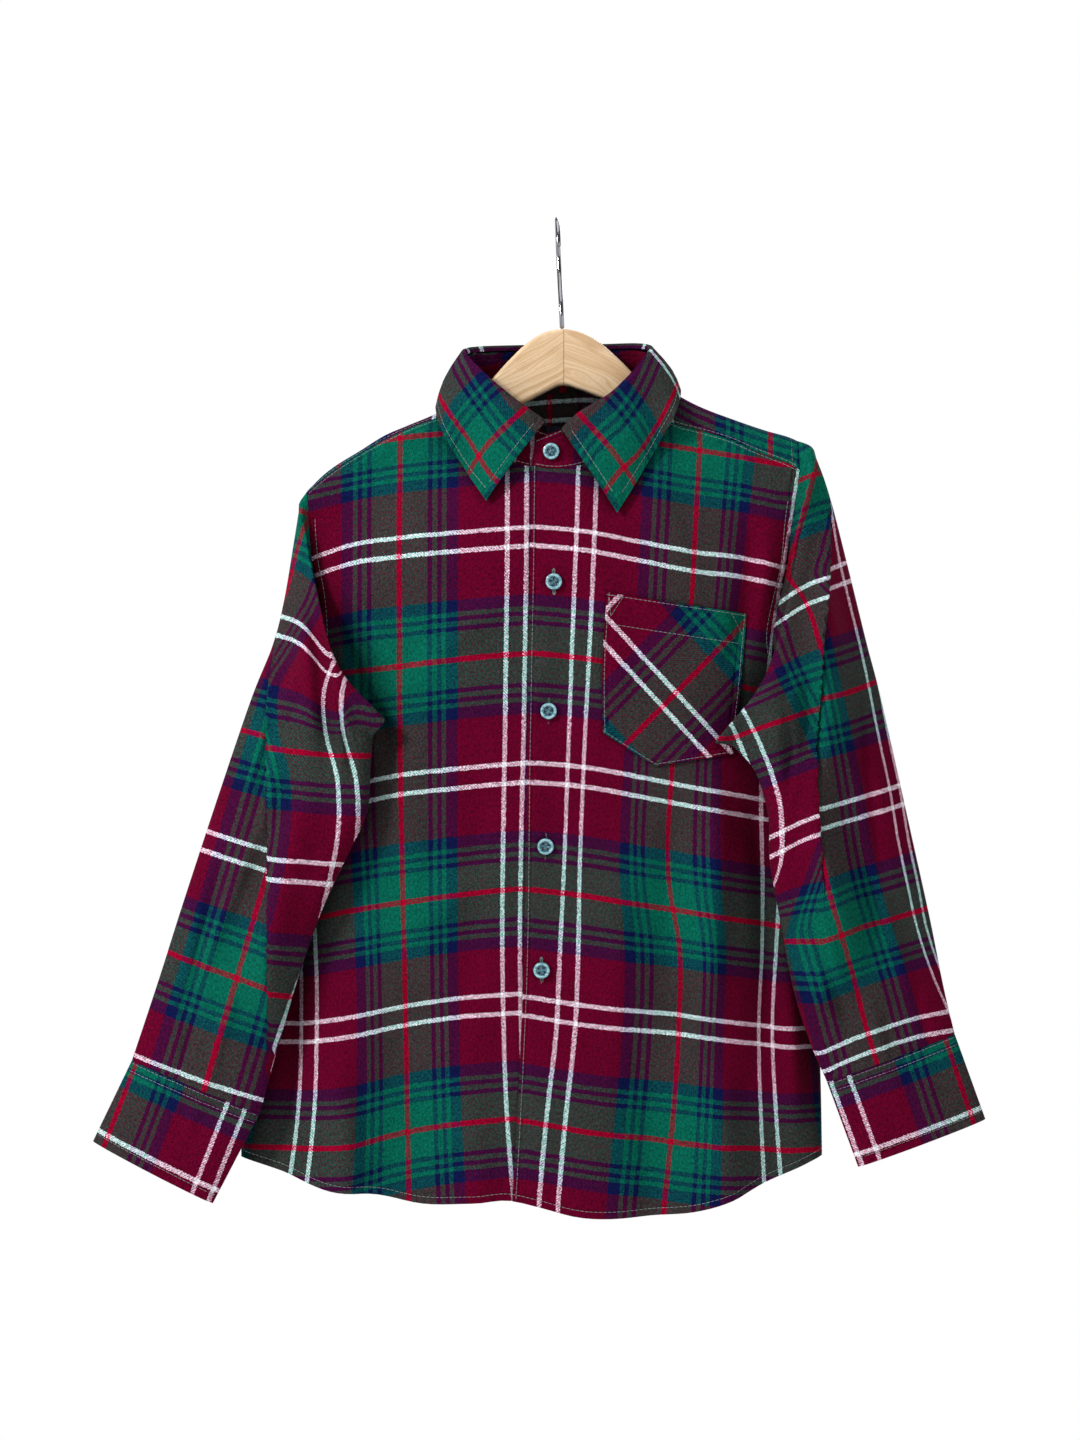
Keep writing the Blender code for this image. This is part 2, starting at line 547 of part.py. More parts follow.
def station_curve(outer, inner, near, far, depths, full, share, side):
    """Half of a sleeve's section, from the outer to the inner edge."""
    chord = inner - outer
    out = np.array([chord[1], -chord[0]]) / np.linalg.norm(chord)
    if out[1] > 0.0:
        out = -out
    bow = spline_at(np.array([[0.0], [near], [far], [0.0]]), BOW_PLACES, share)
    flat = outer + share[:, None] * chord + bow * out
    round_off = arch(share) ** SLEEVE_ROUND
    y = mix(depths[0], depths[1], share) + side * full * round_off
    return np.stack([flat[:, 0], y, flat[:, 1]], axis=-1)


def clear_of_body(points, weight, side, underarm):
    """Keep sleeve points in front of the body's cloth, where they pass before it."""
    x, y, z = points[:, 0], points[:, 1], points[:, 2]
    guard = -section_depth(x, z, -1, SLEEVE_CLEAR)
    inside = guard < 0.0
    below = smooth((underarm + UNDERARM_REACH - z) / UNDERARM_EASE) if side > 0 else 1.0
    moved = np.where(inside & (y > guard), mix(y, guard, weight * below), y)
    return np.stack([x, moved, z], axis=-1)


def sleeve_half(hand, loop, side, rows):
    """One half of a sleeve: rows of points from the armhole to the cuff."""
    steps = np.linalg.norm(np.diff(loop, axis=0), axis=1)
    share = np.concatenate(([0.0], np.cumsum(steps)))
    share = share / share[-1]
    out = -1.0 if hand == "left" else 1.0
    lean = np.sin(share * math.pi) * math.radians(PUFF_LEAN[side])
    puff = loop + PUFF * np.stack([out * np.cos(lean), side * np.sin(lean), -PUFF_SINK * share], axis=-1)
    stations = [loop, puff]
    for edges, form in zip(SLEEVE_EDGES[hand], SLEEVE_FORM):
        near, far = (form[0], form[1]) if side < 0 else (form[2], form[3])
        full = form[6] if side < 0 else form[7]
        outer, inner = edges[:2], edges[2:]
        curve = station_curve(outer, inner, near, far, form[4:6], full, share, side)
        stations.append(curve)
    stations = np.array(stations)
    knots = np.array([0.0, PUFF_PLACE] + [1.0 + n for n in range(len(SLEEVE_EDGES[hand]))])
    flat = spline_at(stations.reshape(len(stations), -1), knots, rows * knots[-1])
    grid = flat.reshape(len(rows), -1, 3)
    for row, place in enumerate(rows * knots[-1]):
        if place > 0.0:
            grid[row] = clear_of_body(grid[row], smooth(place / PUFF_PLACE), side, loop[-1, 2])
    if side < 0:
        length = rows[:, None]
        for at_top, at_foot, start, end, width, proud in SLEEVE_FOLDS[hand]:
            centre = mix(at_top, at_foot, np.clip((length - start) / (end - start), 0.0, 1.0))
            fade = (smooth((length - start) / SLEEVE_FOLD_FADE)
                    * smooth((end - length) / SLEEVE_FOLD_FADE))
            grid[..., 1] -= proud * fade * np.exp(-((share[None, :] - centre) / width) ** 2)
    return grid


def sleeve_grid(hand, front, back, yoke):
    """A sleeve as a closed tube: rows from the armhole to the cuff, once round each row."""
    front_loop, back_loop = armhole_loops(hand, front, back, yoke)
    ahead = sleeve_half(hand, front_loop, -1, SLEEVE_ROWS)
    behind = sleeve_half(hand, back_loop, 1, SLEEVE_ROWS)
    grid = np.concatenate([ahead, behind[:, -2::-1]], axis=1)
    return np.transpose(grid, (1, 0, 2))


def cuff_grid(hand, sleeve):
    """A cuff: a band from the sleeve's end to its own foot, whose ends lap behind."""
    top = sleeve[:, -1]
    count = len(top)
    outer, inner = (np.array(corner) for corner in CUFF_FOOT[hand])
    fold = int(np.argmax(np.linalg.norm(top - top[0], axis=1)))
    around = np.arange(count)
    in_front = around <= fold
    share = np.where(in_front, around / fold, (count - around) / (count - fold))
    full = CUFF_FULL * np.where(in_front, -1.0, 1.0) * arch(share)
    flat = outer + share[:, None] * (inner - outer)
    foot = np.stack([flat[:, 0], mix(CUFF_OUTER_Y, CUFF_INNER_Y, share) + full, flat[:, 1]], axis=-1)
    start = fold + (count - fold) // 2
    order = (start + np.arange(count + CUFF_LAP_COLUMNS)) % count
    down = shares(CUFF_ROWS)[None, :, None]
    band = top[order][:, None] * (1.0 - down) + foot[order][:, None] * down
    layer = CLOTH + LAYER_GAP
    band[-CUFF_LAP_COLUMNS:, :, 1] += layer
    band[-CUFF_LAP_COLUMNS - 1, :, 1] += layer * CUFF_LAP_EASE
    return band


# ---------------------------------------------------------------- collar

def stand_grid(left, right, yoke):
    """The collar stand, from its under end round the back to its over end, seam to top."""
    neck_end = len(yoke) - 1 - SHOULDER_COLUMNS
    seam = np.concatenate([left[:NECK_COLUMNS, 0], yoke[SHOULDER_COLUMNS:neck_end, 0],
                           right[NECK_COLUMNS::-1, 0]])
    corner, far_corner = STAND_CORNERS
    places = np.concatenate([mix(0.0, corner, shares(NECK_COLUMNS))[:-1],
                             mix(corner, far_corner, shares(neck_end - SHOULDER_COLUMNS)),
                             mix(far_corner, len(STAND_TOP) - 1.0, shares(NECK_COLUMNS))[1:]])
    top = spline_at(STAND_TOP, np.arange(len(STAND_TOP), dtype=float), places)
    down = shares(2)[None, :, None]
    return seam[:, None] * (1.0 - down) + top[:, None] * down


def leaf_grid():
    """The collar leaf, from its left end round the back to its right end, fold to edge."""
    edge_rows = []
    for x, z, side in COLLAR_EDGE:
        clear = LEAF_CLEAR + LEAF_RISE * math.exp(-((abs(x) - LEAF_TURN_X) / LEAF_TURN_WIDTH) ** 2)
        y = float(body_y(x, z, side)) + side * clear if side else 0.0
        edge_rows.append((x, y, z))
    knots = np.arange(len(edge_rows), dtype=float)
    places = shares(LEAF_COLUMNS) * knots[-1]
    fold = spline_at(COLLAR_FOLD, knots, places)
    edge = spline_at(np.array(edge_rows), knots, places)
    to_neck = np.zeros_like(fold)
    to_neck[:, :2] = unit(np.array(NECK_CENTRE) - fold[:, :2])
    down = np.array([0.0, 0.0, -1.0])
    inner = fold + to_neck * LEAF_TUCK[0] + down * LEAF_TUCK[1]
    shoulder = fold - to_neck * LEAF_SHOULDER[0] + down * LEAF_SHOULDER[1]
    lines = [inner, fold, shoulder]
    for share in LEAF_ROWS:
        lines.append(mix(shoulder, edge, share) - to_neck * LEAF_ROLL * math.sin(share * math.pi))
    return np.stack(lines, axis=1)


# ---------------------------------------------------------------- pocket and label

def patch(top, middle, foot, columns, rows):
    """Points between three rows of three corners, in x and z."""
    knots = np.array([0.0, 0.5, 1.0])
    lines = []
    for corners in (top, middle, foot):
        corners = np.array(corners)
        at = shares(columns)
        first = mix(corners[0], corners[1], np.clip(at * 2.0, 0.0, 1.0)[:, None])
        second = mix(corners[1], corners[2], np.clip(at * 2.0 - 1.0, 0.0, 1.0)[:, None])
        lines.append(np.where(at[:, None] <= 0.5, first, second))
    lines = np.array(lines)
    flat = spline_at(lines.reshape(3, -1), knots, shares(rows))
    return np.transpose(flat.reshape(rows + 1, columns + 1, 2), (1, 0, 2))


def pocket_grid():
    flat = patch(POCKET_TOP, POCKET_MIDDLE, POCKET_FOOT, 6, 6)
    x, z = flat[..., 0], flat[..., 1]
    y = body_y(x, z, -1) - POCKET_LIFT
    return np.stack([x, y, z], axis=-1)


def label_grid():
    """The neck label, on the inner face of the yoke."""
    half_x, half_z = LABEL_SIZE[0] / 2.0, LABEL_SIZE[1] / 2.0
    x = LABEL_AT[0] + np.linspace(-half_x, half_x, 4)[:, None] * np.ones((1, 3))
    z = LABEL_AT[1] + np.linspace(half_z, -half_z, 3)[None, :] * np.ones((4, 1))
    y = body_y(x, z, 1) - LABEL_LIFT
    return np.stack([x, y, z], axis=-1)


# ---------------------------------------------------------------- from grids to cloth

def key(point):
    return tuple(int(round(value * 1000.0)) for value in point)


def grid_normals(grid, wrap):
    """Unscaled normals at the points of a grid, larger where the faces are larger."""
    u = np.roll(grid, -1, axis=0) - grid
    if not wrap:
        u = np.diff(grid, axis=0)
        face_u = u[:, :-1] + u[:, 1:]
        face_v = np.diff(grid, axis=1)
        face_v = face_v[:-1] + face_v[1:]
    else:
        face_u = u[:, :-1] + u[:, 1:]
        rolled = np.roll(grid, -1, axis=0)
        face_v = np.diff(grid, axis=1) + np.diff(rolled, axis=1)
    faces = np.cross(face_u, face_v)
    total = np.zeros_like(grid)
    if wrap:
        total[:, :-1] += faces + np.roll(faces, 1, axis=0)
        total[:, 1:] += faces + np.roll(faces, 1, axis=0)
    else:
        total[:-1, :-1] += faces
        total[1:, :-1] += faces
        total[:-1, 1:] += faces
        total[1:, 1:] += faces
    return total


def unit(vectors):
    return vectors / np.maximum(np.linalg.norm(vectors, axis=-1, keepdims=True), 1e-9)


def inward(border, inner, normals, closed):
    """Directions that lie in the cloth and point in from its border, at right angles to it."""
    if closed:
        run = np.roll(border, -1, axis=0) - np.roll(border, 1, axis=0)
    else:
        run = np.gradient(border, axis=0)
    across = unit(np.cross(normals, run))
    return across * np.sign(np.sum(across * (inner - border)))


def set_in(grid, normals, wrap):
    """The grid with its border drawn in by half a seam gap."""
    moved = grid.copy()
    half = SEAM_GAP / 2.0
    moved[:, 0] += half * inward(grid[:, 0], grid[:, 1], normals[:, 0], wrap)
    moved[:, -1] += half * inward(grid[:, -1], grid[:, -2], normals[:, -1], wrap)
    if not wrap:
        moved[0] += half * inward(grid[0], grid[1], normals[0], False)
        moved[-1] += half * inward(grid[-1], grid[-2], normals[-1], False)
    return moved


def cloth_object(name, grid, normals, wrap):
    """One piece of cloth: the grid, made thick along the normals, as one closed body."""
    columns, rows = grid.shape[:2]
    if wrap:
        grid = np.concatenate([grid, grid[:1]])
        normals = np.concatenate([normals, normals[:1]])
        columns += 1
    inner = (grid - normals * CLOTH / 2.0) * MM
    mesh = bmesh.new()
    across = mesh.verts.layers.float_vector.new("across")
    bmesh.ops.create_grid(mesh, x_segments=columns - 1, y_segments=rows - 1, size=0.5)
    for vert in mesh.verts:
        column = int(round((vert.co.x + 0.5) * (columns - 1)))
        row = int(round((vert.co.y + 0.5) * (rows - 1)))
        vert.co = Vector(inner[column, row])
        vert[across] = Vector(normals[column, row] * CLOTH * MM)
    if wrap:
        bmesh.ops.remove_doubles(mesh, verts=mesh.verts, dist=1e-6)
    lifted = bmesh.ops.extrude_face_region(mesh, geom=mesh.faces[:], use_keep_orig=True)
    for item in lifted["geom"]:
        if isinstance(item, bmesh.types.BMVert):
            item.co = item.co + item[across]
    bmesh.ops.recalc_face_normals(mesh, faces=mesh.faces)
    bmesh.ops.triangulate(mesh, faces=mesh.faces)
    mesh.verts.layers.float_vector.remove(across)
    return mesh_object(name, mesh)


def mesh_object(name, mesh):
    data = bpy.data.meshes.new(name)
    mesh.to_mesh(data)
    mesh.free()
    data.shade_smooth()
    data.set_sharp_from_angle(angle=math.radians(50.0))
    made = bpy.data.objects.new(name, data)
    bpy.context.scene.collection.objects.link(made)
    return made


def finish(made, color, roughness=0.9, metallic=0.0):
    """A plain material of the piece's own."""
    material = bpy.data.materials.new(made.name + "_finish")
    material.use_nodes = True
    shader = material.node_tree.nodes["Principled BSDF"]
    shader.inputs["Base Color"].default_value = (*color, 1.0)
    shader.inputs["Roughness"].default_value = roughness
    shader.inputs["Metallic"].default_value = metallic
    made.data.materials.append(material)
    return made


def build_cloth():
    """Every cloth piece, with shared normals along the seams."""
    left, right = front_grid("left"), front_grid("right")
    back, yoke = back_grid(), yoke_grid()
    sleeves = {hand: sleeve_grid(hand, front, back, yoke)
               for hand, front in (("left", left), ("right", right))}
    # The wearer's right side is at -X
    pieces = {
        "front_right": (left, False), "front_left": (right, False), "back": (back, False),
        "yoke": (yoke, False), "collar_stand": (stand_grid(left, right, yoke), False),
        "collar": (leaf_grid(), False), "pocket": (pocket_grid(), False),
        "neck_label": (label_grid(), False),
        "sleeve_right": (sleeves["left"], True), "sleeve_left": (sleeves["right"], True),
        "cuff_right": (cuff_grid("left", sleeves["left"]), False),
        "cuff_left": (cuff_grid("right", sleeves["right"]), False),
    }
    turned_over = {"front_left", "collar_stand", "pocket", "sleeve_right", "cuff_right"}
    normals = {name: grid_normals(grid, wrap) * (-1.0 if name in turned_over else 1.0)
               for name, (grid, wrap) in pieces.items()}
    shared = {}
    for name, (grid, _) in pieces.items():
        for point, normal in zip(grid.reshape(-1, 3), unit(normals[name]).reshape(-1, 3)):
            shared[key(point)] = shared.get(key(point), 0.0) + normal
    for name, (grid, wrap) in pieces.items():
        flat = np.array([shared[key(point)] for point in grid.reshape(-1, 3)])
        normal = unit(flat).reshape(grid.shape)
        made = cloth_object(name, set_in(grid, normal, wrap), normal, wrap)
        finish(made, CLOTH_COLORS.get(name, FLANNEL))
    return pieces


# ---------------------------------------------------------------- hard pieces

def turned(name, profile):
    """A piece turned round Z from a profile of (radius, height) points on its axis ends."""
    mesh = bmesh.new()
    verts = [mesh.verts.new((radius * MM, 0.0, height * MM)) for radius, height in profile]
    edges = [mesh.edges.new(pair) for pair in zip(verts, verts[1:])]
    bmesh.ops.spin(mesh, geom=verts + edges, cent=(0, 0, 0), axis=(0, 0, 1),
                   angle=2.0 * math.pi, steps=BUTTON_SIDES, use_merge=True)
    bmesh.ops.remove_doubles(mesh, verts=mesh.verts, dist=1e-7)
    bmesh.ops.recalc_face_normals(mesh, faces=mesh.faces)
    return mesh_object(name, mesh)


def button(name, place, normal, size):
    """A dished shirt button that lies on the cloth at a place, facing along the normal."""
    radius = size / 2.0
    made = turned(name, [(radius * share, BUTTON_THICK * height) for share, height in BUTTON_PROFILE])
    turn = Vector(normal).to_track_quat("Z", "Y").to_matrix().to_4x4()
    made.matrix_world = Matrix.Translation(Vector(place) * MM) @ turn
    return finish(made, PEARL, 0.25)


def point_on(grid, x, z):
    """The point of a front grid at x and height z, and the cloth's outward normal there."""
    share = shares(12)
    u, v = share[:, None, None, None, None], share[None, :, None, None, None]
    cells = ((grid[:-1, :-1] * (1 - u) + grid[1:, :-1] * u) * (1 - v)
             + (grid[:-1, 1:] * (1 - u) + grid[1:, 1:] * u) * v)
    away = (cells[..., 0] - x) ** 2 + (cells[..., 2] - z) ** 2
    i, j, column, row = np.unravel_index(np.argmin(away), away.shape)
    corner = grid[column, row]
    normal = unit(np.cross(grid[column + 1, row] - corner, grid[column, row + 1] - corner))
    normal = normal * (1.0 if normal[1] < 0.0 else -1.0)
    return np.array([x, cells[i, j, column, row, 1], z]), normal


def build_buttons(pieces):
    """The front buttons, the top one on the stand, and one on the lap of each cuff."""
    lift = CLOTH / 2.0 + BUTTON_GAP
    for number, (x, z) in enumerate(BUTTONS, start=1):
        grid = pieces["collar_stand"][0][-6:] if number == 1 else pieces["front_left"][0]
        point, normal = point_on(grid, x, z)
        button(f"button_{number}", point + normal * lift, normal, BUTTON_SIZE)
    for hand in ("left", "right"):
        band = pieces[f"cuff_{hand}"][0]
        run = band[-1, 2] - band[-CUFF_LAP_COLUMNS, 2]
        normal = unit(np.cross(run, band[-2, 0] - band[-2, -1]))
        normal = normal if normal[1] > 0.0 else -normal
        button(f"button_cuff_{hand}", band[-2, 2] + normal * lift, normal, CUFF_BUTTON_SIZE)


def hanger_outline():
    """The hanger's outline as a closed loop of x and z."""
    x = np.concatenate([np.linspace(start, end, count) for start, end, count in HANGER_COLUMNS])
    upper = np.stack([x, along(HANGER, 0, x, 1)], axis=-1)
    lower = np.stack([x, along(HANGER, 0, x, 2)], axis=-1)[::-1]
    tip_left, tip_right = HANGER[0], HANGER[-1]
    return np.concatenate([
        [(tip_left[0], tip_left[2]), (tip_left[0], tip_left[1])], upper,
        [(tip_right[0], tip_right[1]), (tip_right[0], tip_right[2])], lower])


def build_hanger():
    mesh = bmesh.new()
    verts = [mesh.verts.new((x * MM, -HANGER_THICK / 2.0 * MM, z * MM)) for x, z in hanger_outline()]
    face = mesh.faces.new(verts)
    lifted = bmesh.ops.extrude_face_region(mesh, geom=[face], use_keep_orig=True)
    moved = [item for item in lifted["geom"] if isinstance(item, bmesh.types.BMVert)]
    bmesh.ops.translate(mesh, verts=moved, vec=(0.0, HANGER_THICK * MM, 0.0))
    bmesh.ops.recalc_face_normals(mesh, faces=mesh.faces)
    rims = [edge for edge in mesh.edges if abs(edge.verts[0].co.y - edge.verts[1].co.y) < 1e-9]
    bmesh.ops.bevel(mesh, geom=rims, offset=HANGER_ROUND * MM, offset_type="OFFSET", affect="EDGES",
                    segments=2, profile=0.5, material=-1)
    finish(mesh_object("hanger_body", mesh), BEECH, 0.45)


def build_hook():
    """The wire hook: a straight shank out of the wood, then an arc over the rail."""
    foot_x, foot_z = HOOK_FOOT
    centre_z = HOOK_WIRE / 2.0 - HOOK_RADIUS
    start = math.radians(HOOK_START)
    points = [(0.0, foot_z + HOOK_SET)]
    for share in shares(HOOK_BEND_STEPS)[:-1]:
        points.append((mix(0.0, HOOK_RADIUS * math.cos(start), smooth(share)),
                       mix(foot_z + HOOK_SHANK, centre_z + HOOK_RADIUS * math.sin(start), share)))
    for angle in start + math.radians(HOOK_SWEEP) * shares(HOOK_ARC_STEPS):
        points.append((HOOK_RADIUS * math.cos(angle), centre_z + HOOK_RADIUS * math.sin(angle)))
    curve = bpy.data.curves.new("hanger_hook", "CURVE")
    curve.dimensions = "3D"
    curve.bevel_depth = HOOK_WIRE / 2.0 * MM
    curve.bevel_resolution = 2
    curve.use_fill_caps = True
    line = curve.splines.new("POLY")
    line.points.add(len(points) - 1)
    for point, (y, z) in zip(line.points, points):
        point.co = (foot_x * z / foot_z * MM, y * MM, z * MM, 1.0)
    made = bpy.data.objects.new("hanger_hook", curve)
    bpy.context.scene.collection.objects.link(made)
    finish(made, STEEL, 0.2, 1.0)


def main():
    for item in list(bpy.data.objects):
        bpy.data.objects.remove(item, do_unlink=True)
    build_hanger()
    build_hook()
    build_buttons(build_cloth())


main()
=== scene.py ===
"""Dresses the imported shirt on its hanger: brushed tartan flannel, stitching, buttons, wood and wire.

Lengths in the tables are millimetres in the part's frame: the origin is the seat of the hook,
+Z is up and the shirt's front faces -Y. The hand names "left" and "right" in the tables are
those of somebody who faces the shirt; the node names are the wearer's.
"""

from __future__ import annotations

import logging
import math
from dataclasses import dataclass, field
from enum import Enum
from typing import Callable, Iterable, Sequence

import bmesh
import bpy
import numpy as np
from mathutils import Matrix, Vector

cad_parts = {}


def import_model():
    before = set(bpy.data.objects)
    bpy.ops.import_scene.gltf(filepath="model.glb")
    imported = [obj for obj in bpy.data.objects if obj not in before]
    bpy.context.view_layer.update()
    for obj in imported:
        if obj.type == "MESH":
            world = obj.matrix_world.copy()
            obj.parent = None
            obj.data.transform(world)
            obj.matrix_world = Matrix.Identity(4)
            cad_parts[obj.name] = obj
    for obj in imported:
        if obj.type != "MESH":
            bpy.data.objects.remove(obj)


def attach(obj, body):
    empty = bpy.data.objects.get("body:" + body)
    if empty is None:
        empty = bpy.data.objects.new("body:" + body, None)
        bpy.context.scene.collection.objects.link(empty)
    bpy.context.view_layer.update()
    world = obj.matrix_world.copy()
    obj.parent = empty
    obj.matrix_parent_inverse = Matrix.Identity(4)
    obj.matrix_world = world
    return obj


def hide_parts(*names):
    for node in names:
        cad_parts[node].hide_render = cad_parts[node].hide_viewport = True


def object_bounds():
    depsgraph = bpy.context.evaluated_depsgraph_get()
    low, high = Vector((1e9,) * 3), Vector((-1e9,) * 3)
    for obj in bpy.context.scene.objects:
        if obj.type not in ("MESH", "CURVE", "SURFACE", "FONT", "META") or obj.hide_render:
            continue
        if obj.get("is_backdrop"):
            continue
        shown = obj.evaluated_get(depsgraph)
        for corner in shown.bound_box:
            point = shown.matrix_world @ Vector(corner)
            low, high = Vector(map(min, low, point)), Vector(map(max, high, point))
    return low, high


LOG = logging.getLogger("flannel_shirt")

Array = np.ndarray


def numbers(text: str) -> Array:
    """Numbers in rows, which end at a semicolon or with their line; a heading opens with #."""
    rows = [line.split() for line in text.replace(";", "\n").splitlines()]
    return np.array([[float(cell) for cell in row] for row in rows if row and row[0] != "#"])


# ---- driving sizes

MM = 0.001
CLOTH = 1.0               # thickness shown of one wall of cloth
SOLID_CLOTH = 1.2         # the same wall in the solids, which the layers are spaced by
SEAM_GAP = 0.16
LAYER_GAP = 0.35

# Grids: how many columns or rows run along each border
ARM_ROWS = 40
BACK_ARM_ROWS = 32
SIDE_ROWS = 64
NECK_COLUMNS = 22
SHOULDER_COLUMNS = 26
BACK_COLUMNS = 96
YOKE_NECK_COLUMNS = 52
SLEEVE_ROWS = 132
CUFF_ROWS = 16
LEAF_COLUMNS = 132
LEAF_STEPS = 15
STAND_STEPS = 8

# The cloth's sett: half a repeat, from the middle of the red line to the middle of the white pair
HALF_SETT = 78.3

# ---- shape tables

BODY = numbers("""
    # z       left    right  front  back
    -100 -182 182 31 26; -180 -178 174 32 27; -250 -174 166 34 29; -322 -170 160.5 35 31
    -400 -184 165 34 31; -460 -196.5 169.3 32 30; -555 -208 176 28 27; -630 -212.2 177.6 26 24
    -680 -213.5 178 26 24""")

RIDGE = numbers("""
    # x, height
    -186 -194; -168.5 -182; -157.7 -171.4; -131 -153.6; -115.7 -144.1; -100.5 -137.6; -78.8 -128.2
    -66 -120.5; -40 -106; 0 -99; 40 -100; 66 -109.5; 78.1 -115.7; 91.7 -123; 119 -133.8
    139.4 -140.8; 159.7 -147.1; 168.5 -152; 186 -163""")

YOKE_SEAM = {
    # x, height
    "left": numbers("-64 -127; -78.8 -132.2; -97 -138.8; -131 -156.2; -158 -174.6; -167.6 -183.2"),
    "right": numbers("""
        62 -118.5; 67.5 -129.5; 75.8 -135.4; 97.4 -141.7; 116.5 -147.5; 131.8 -154.2; 155.9 -163.8
        162.6 -167.2"""),
}

NECK_FRONT = {
    "left": numbers("9 -166.5; -14 -167; -34 -161; -52 -146; -64 -127"),
    "right": numbers("-17.6 -165.5; -4 -167.8; 20 -164; 44 -151; 57.5 -134; 62 -118.5"),
}

# x, how far behind the ridge
NECK_BACK = numbers("-64 -10; -64.5 0; -59 12; -38 22; 0 27; 38 22; 57 12; 62 0; 62 -13")

ARMHOLE_FRONT = {
    "left": numbers("""
        -167.6 -183.2; -166.6 -201.2; -165.6 -218; -163.3 -237; -160.4 -249; -158 -272; -159 -298
        -170 -322"""),
    "right": numbers("""
        162.6 -167.2; 160.4 -184; 157.2 -204; 153.6 -234; 147.2 -261; 144 -284; 148.5 -305
        160.5 -322"""),
}
ARMHOLE_BACK = {
    "left": numbers("-165 -219; -164 -245; -163 -272; -164 -298; -170 -322"),
    "right": numbers("158 -200; 155 -228; 152.5 -262; 154 -296; 160.5 -322"),
}

YOKE_SEAM_BACK = numbers("-165 -219; -80 -203; 0 -198; 80 -199; 158 -200")

# height, x
FRONT_EDGE = numbers("-162 -17.6; -229 -18.4; -348 -20.6; -521 -23.4; -656 -30.3")
FRONT_FOOT = {"left": -664.5, "right": -655.6}

HEM_FRONT = numbers("""
    -212.2 -628.4; -185.6 -636.1; -152 -649; -121.2 -651.5; -91.8 -657.4; -56.9 -657; -30.3 -655.6
    -12.3 -659.7; 12.2 -666; 68.5 -665.5; 91.4 -663; 113.2 -656.9; 139.1 -644.5; 163.7 -633.8
    177.6 -627.4""")
HEM_BACK = numbers("-212.2 -628.4; -150 -641; -60 -649; 20 -652; 100 -648; 177.6 -627.4")

BODY_FOLDS = numbers("""
    # side  x top   x foot  z top   z foot  width  proud
    -1 -138 -152 -430 -700 26 6; -1 -96 -112 -470 -700 20 -4; -1 98 106 -350 -700 22 5.5
    -1 66 66 -400 -700 18 -3.5; -1 134 142 -460 -700 16 -5; -1 20 14 -480 -700 26 3
    -1 -60 -58 -170 -420 30 2.5; 1 -110 -128 -260 -700 24 5; 1 -60 -78 -330 -700 24 -4.5
    1 -10 -16 -250 -700 28 4.5; 1 48 46 -380 -700 22 -4; 1 102 112 -290 -700 24 5.5""")

SLEEVE_EDGES = {
    "left": numbers("""
        # outer x, outer z, inner x, inner z
        -172.3 -188.5 -121.8 -331; -176 -212 -122.6 -347; -183 -255 -124 -368
        -190.4 -285 -126.6 -396.7; -204.5 -321 -139 -424; -227.2 -388.4 -155 -458
        -250 -458.3 -171 -502; -265.6 -508 -183.5 -544; -283.6 -562.4 -198.4 -596.6"""),
    "right": numbers("""
        174.2 -160.5 111.4 -346; 183.3 -187 116.6 -352.5; 195.8 -237 131 -369.5
        207.2 -284.5 139.6 -398; 216.6 -322 141 -430; 236.2 -411 149 -474; 248.6 -468 156 -510
        257.4 -513 165.5 -542; 264.9 -545 179.6 -575.6"""),
}

SLEEVE_FORM = numbers("""
    # front near, far, back near, far, y outer, y inner, full front, full back
    9 11 25 48 -1 -42 13 33; 7 8 24 42 -2 -44 15 33; 4 4 18 28 -5 -44 17 31; 1 1 9 12 -8 -43 18 26
    0 0 2 3 -11 -42 17 20; 0 0 0 0 -14 -40 14 14; 0 0 0 0 -16 -36 12 12; 0 0 0 0 -18 -33 11 11
    0 0 0 0 -19 -31 9 9""")

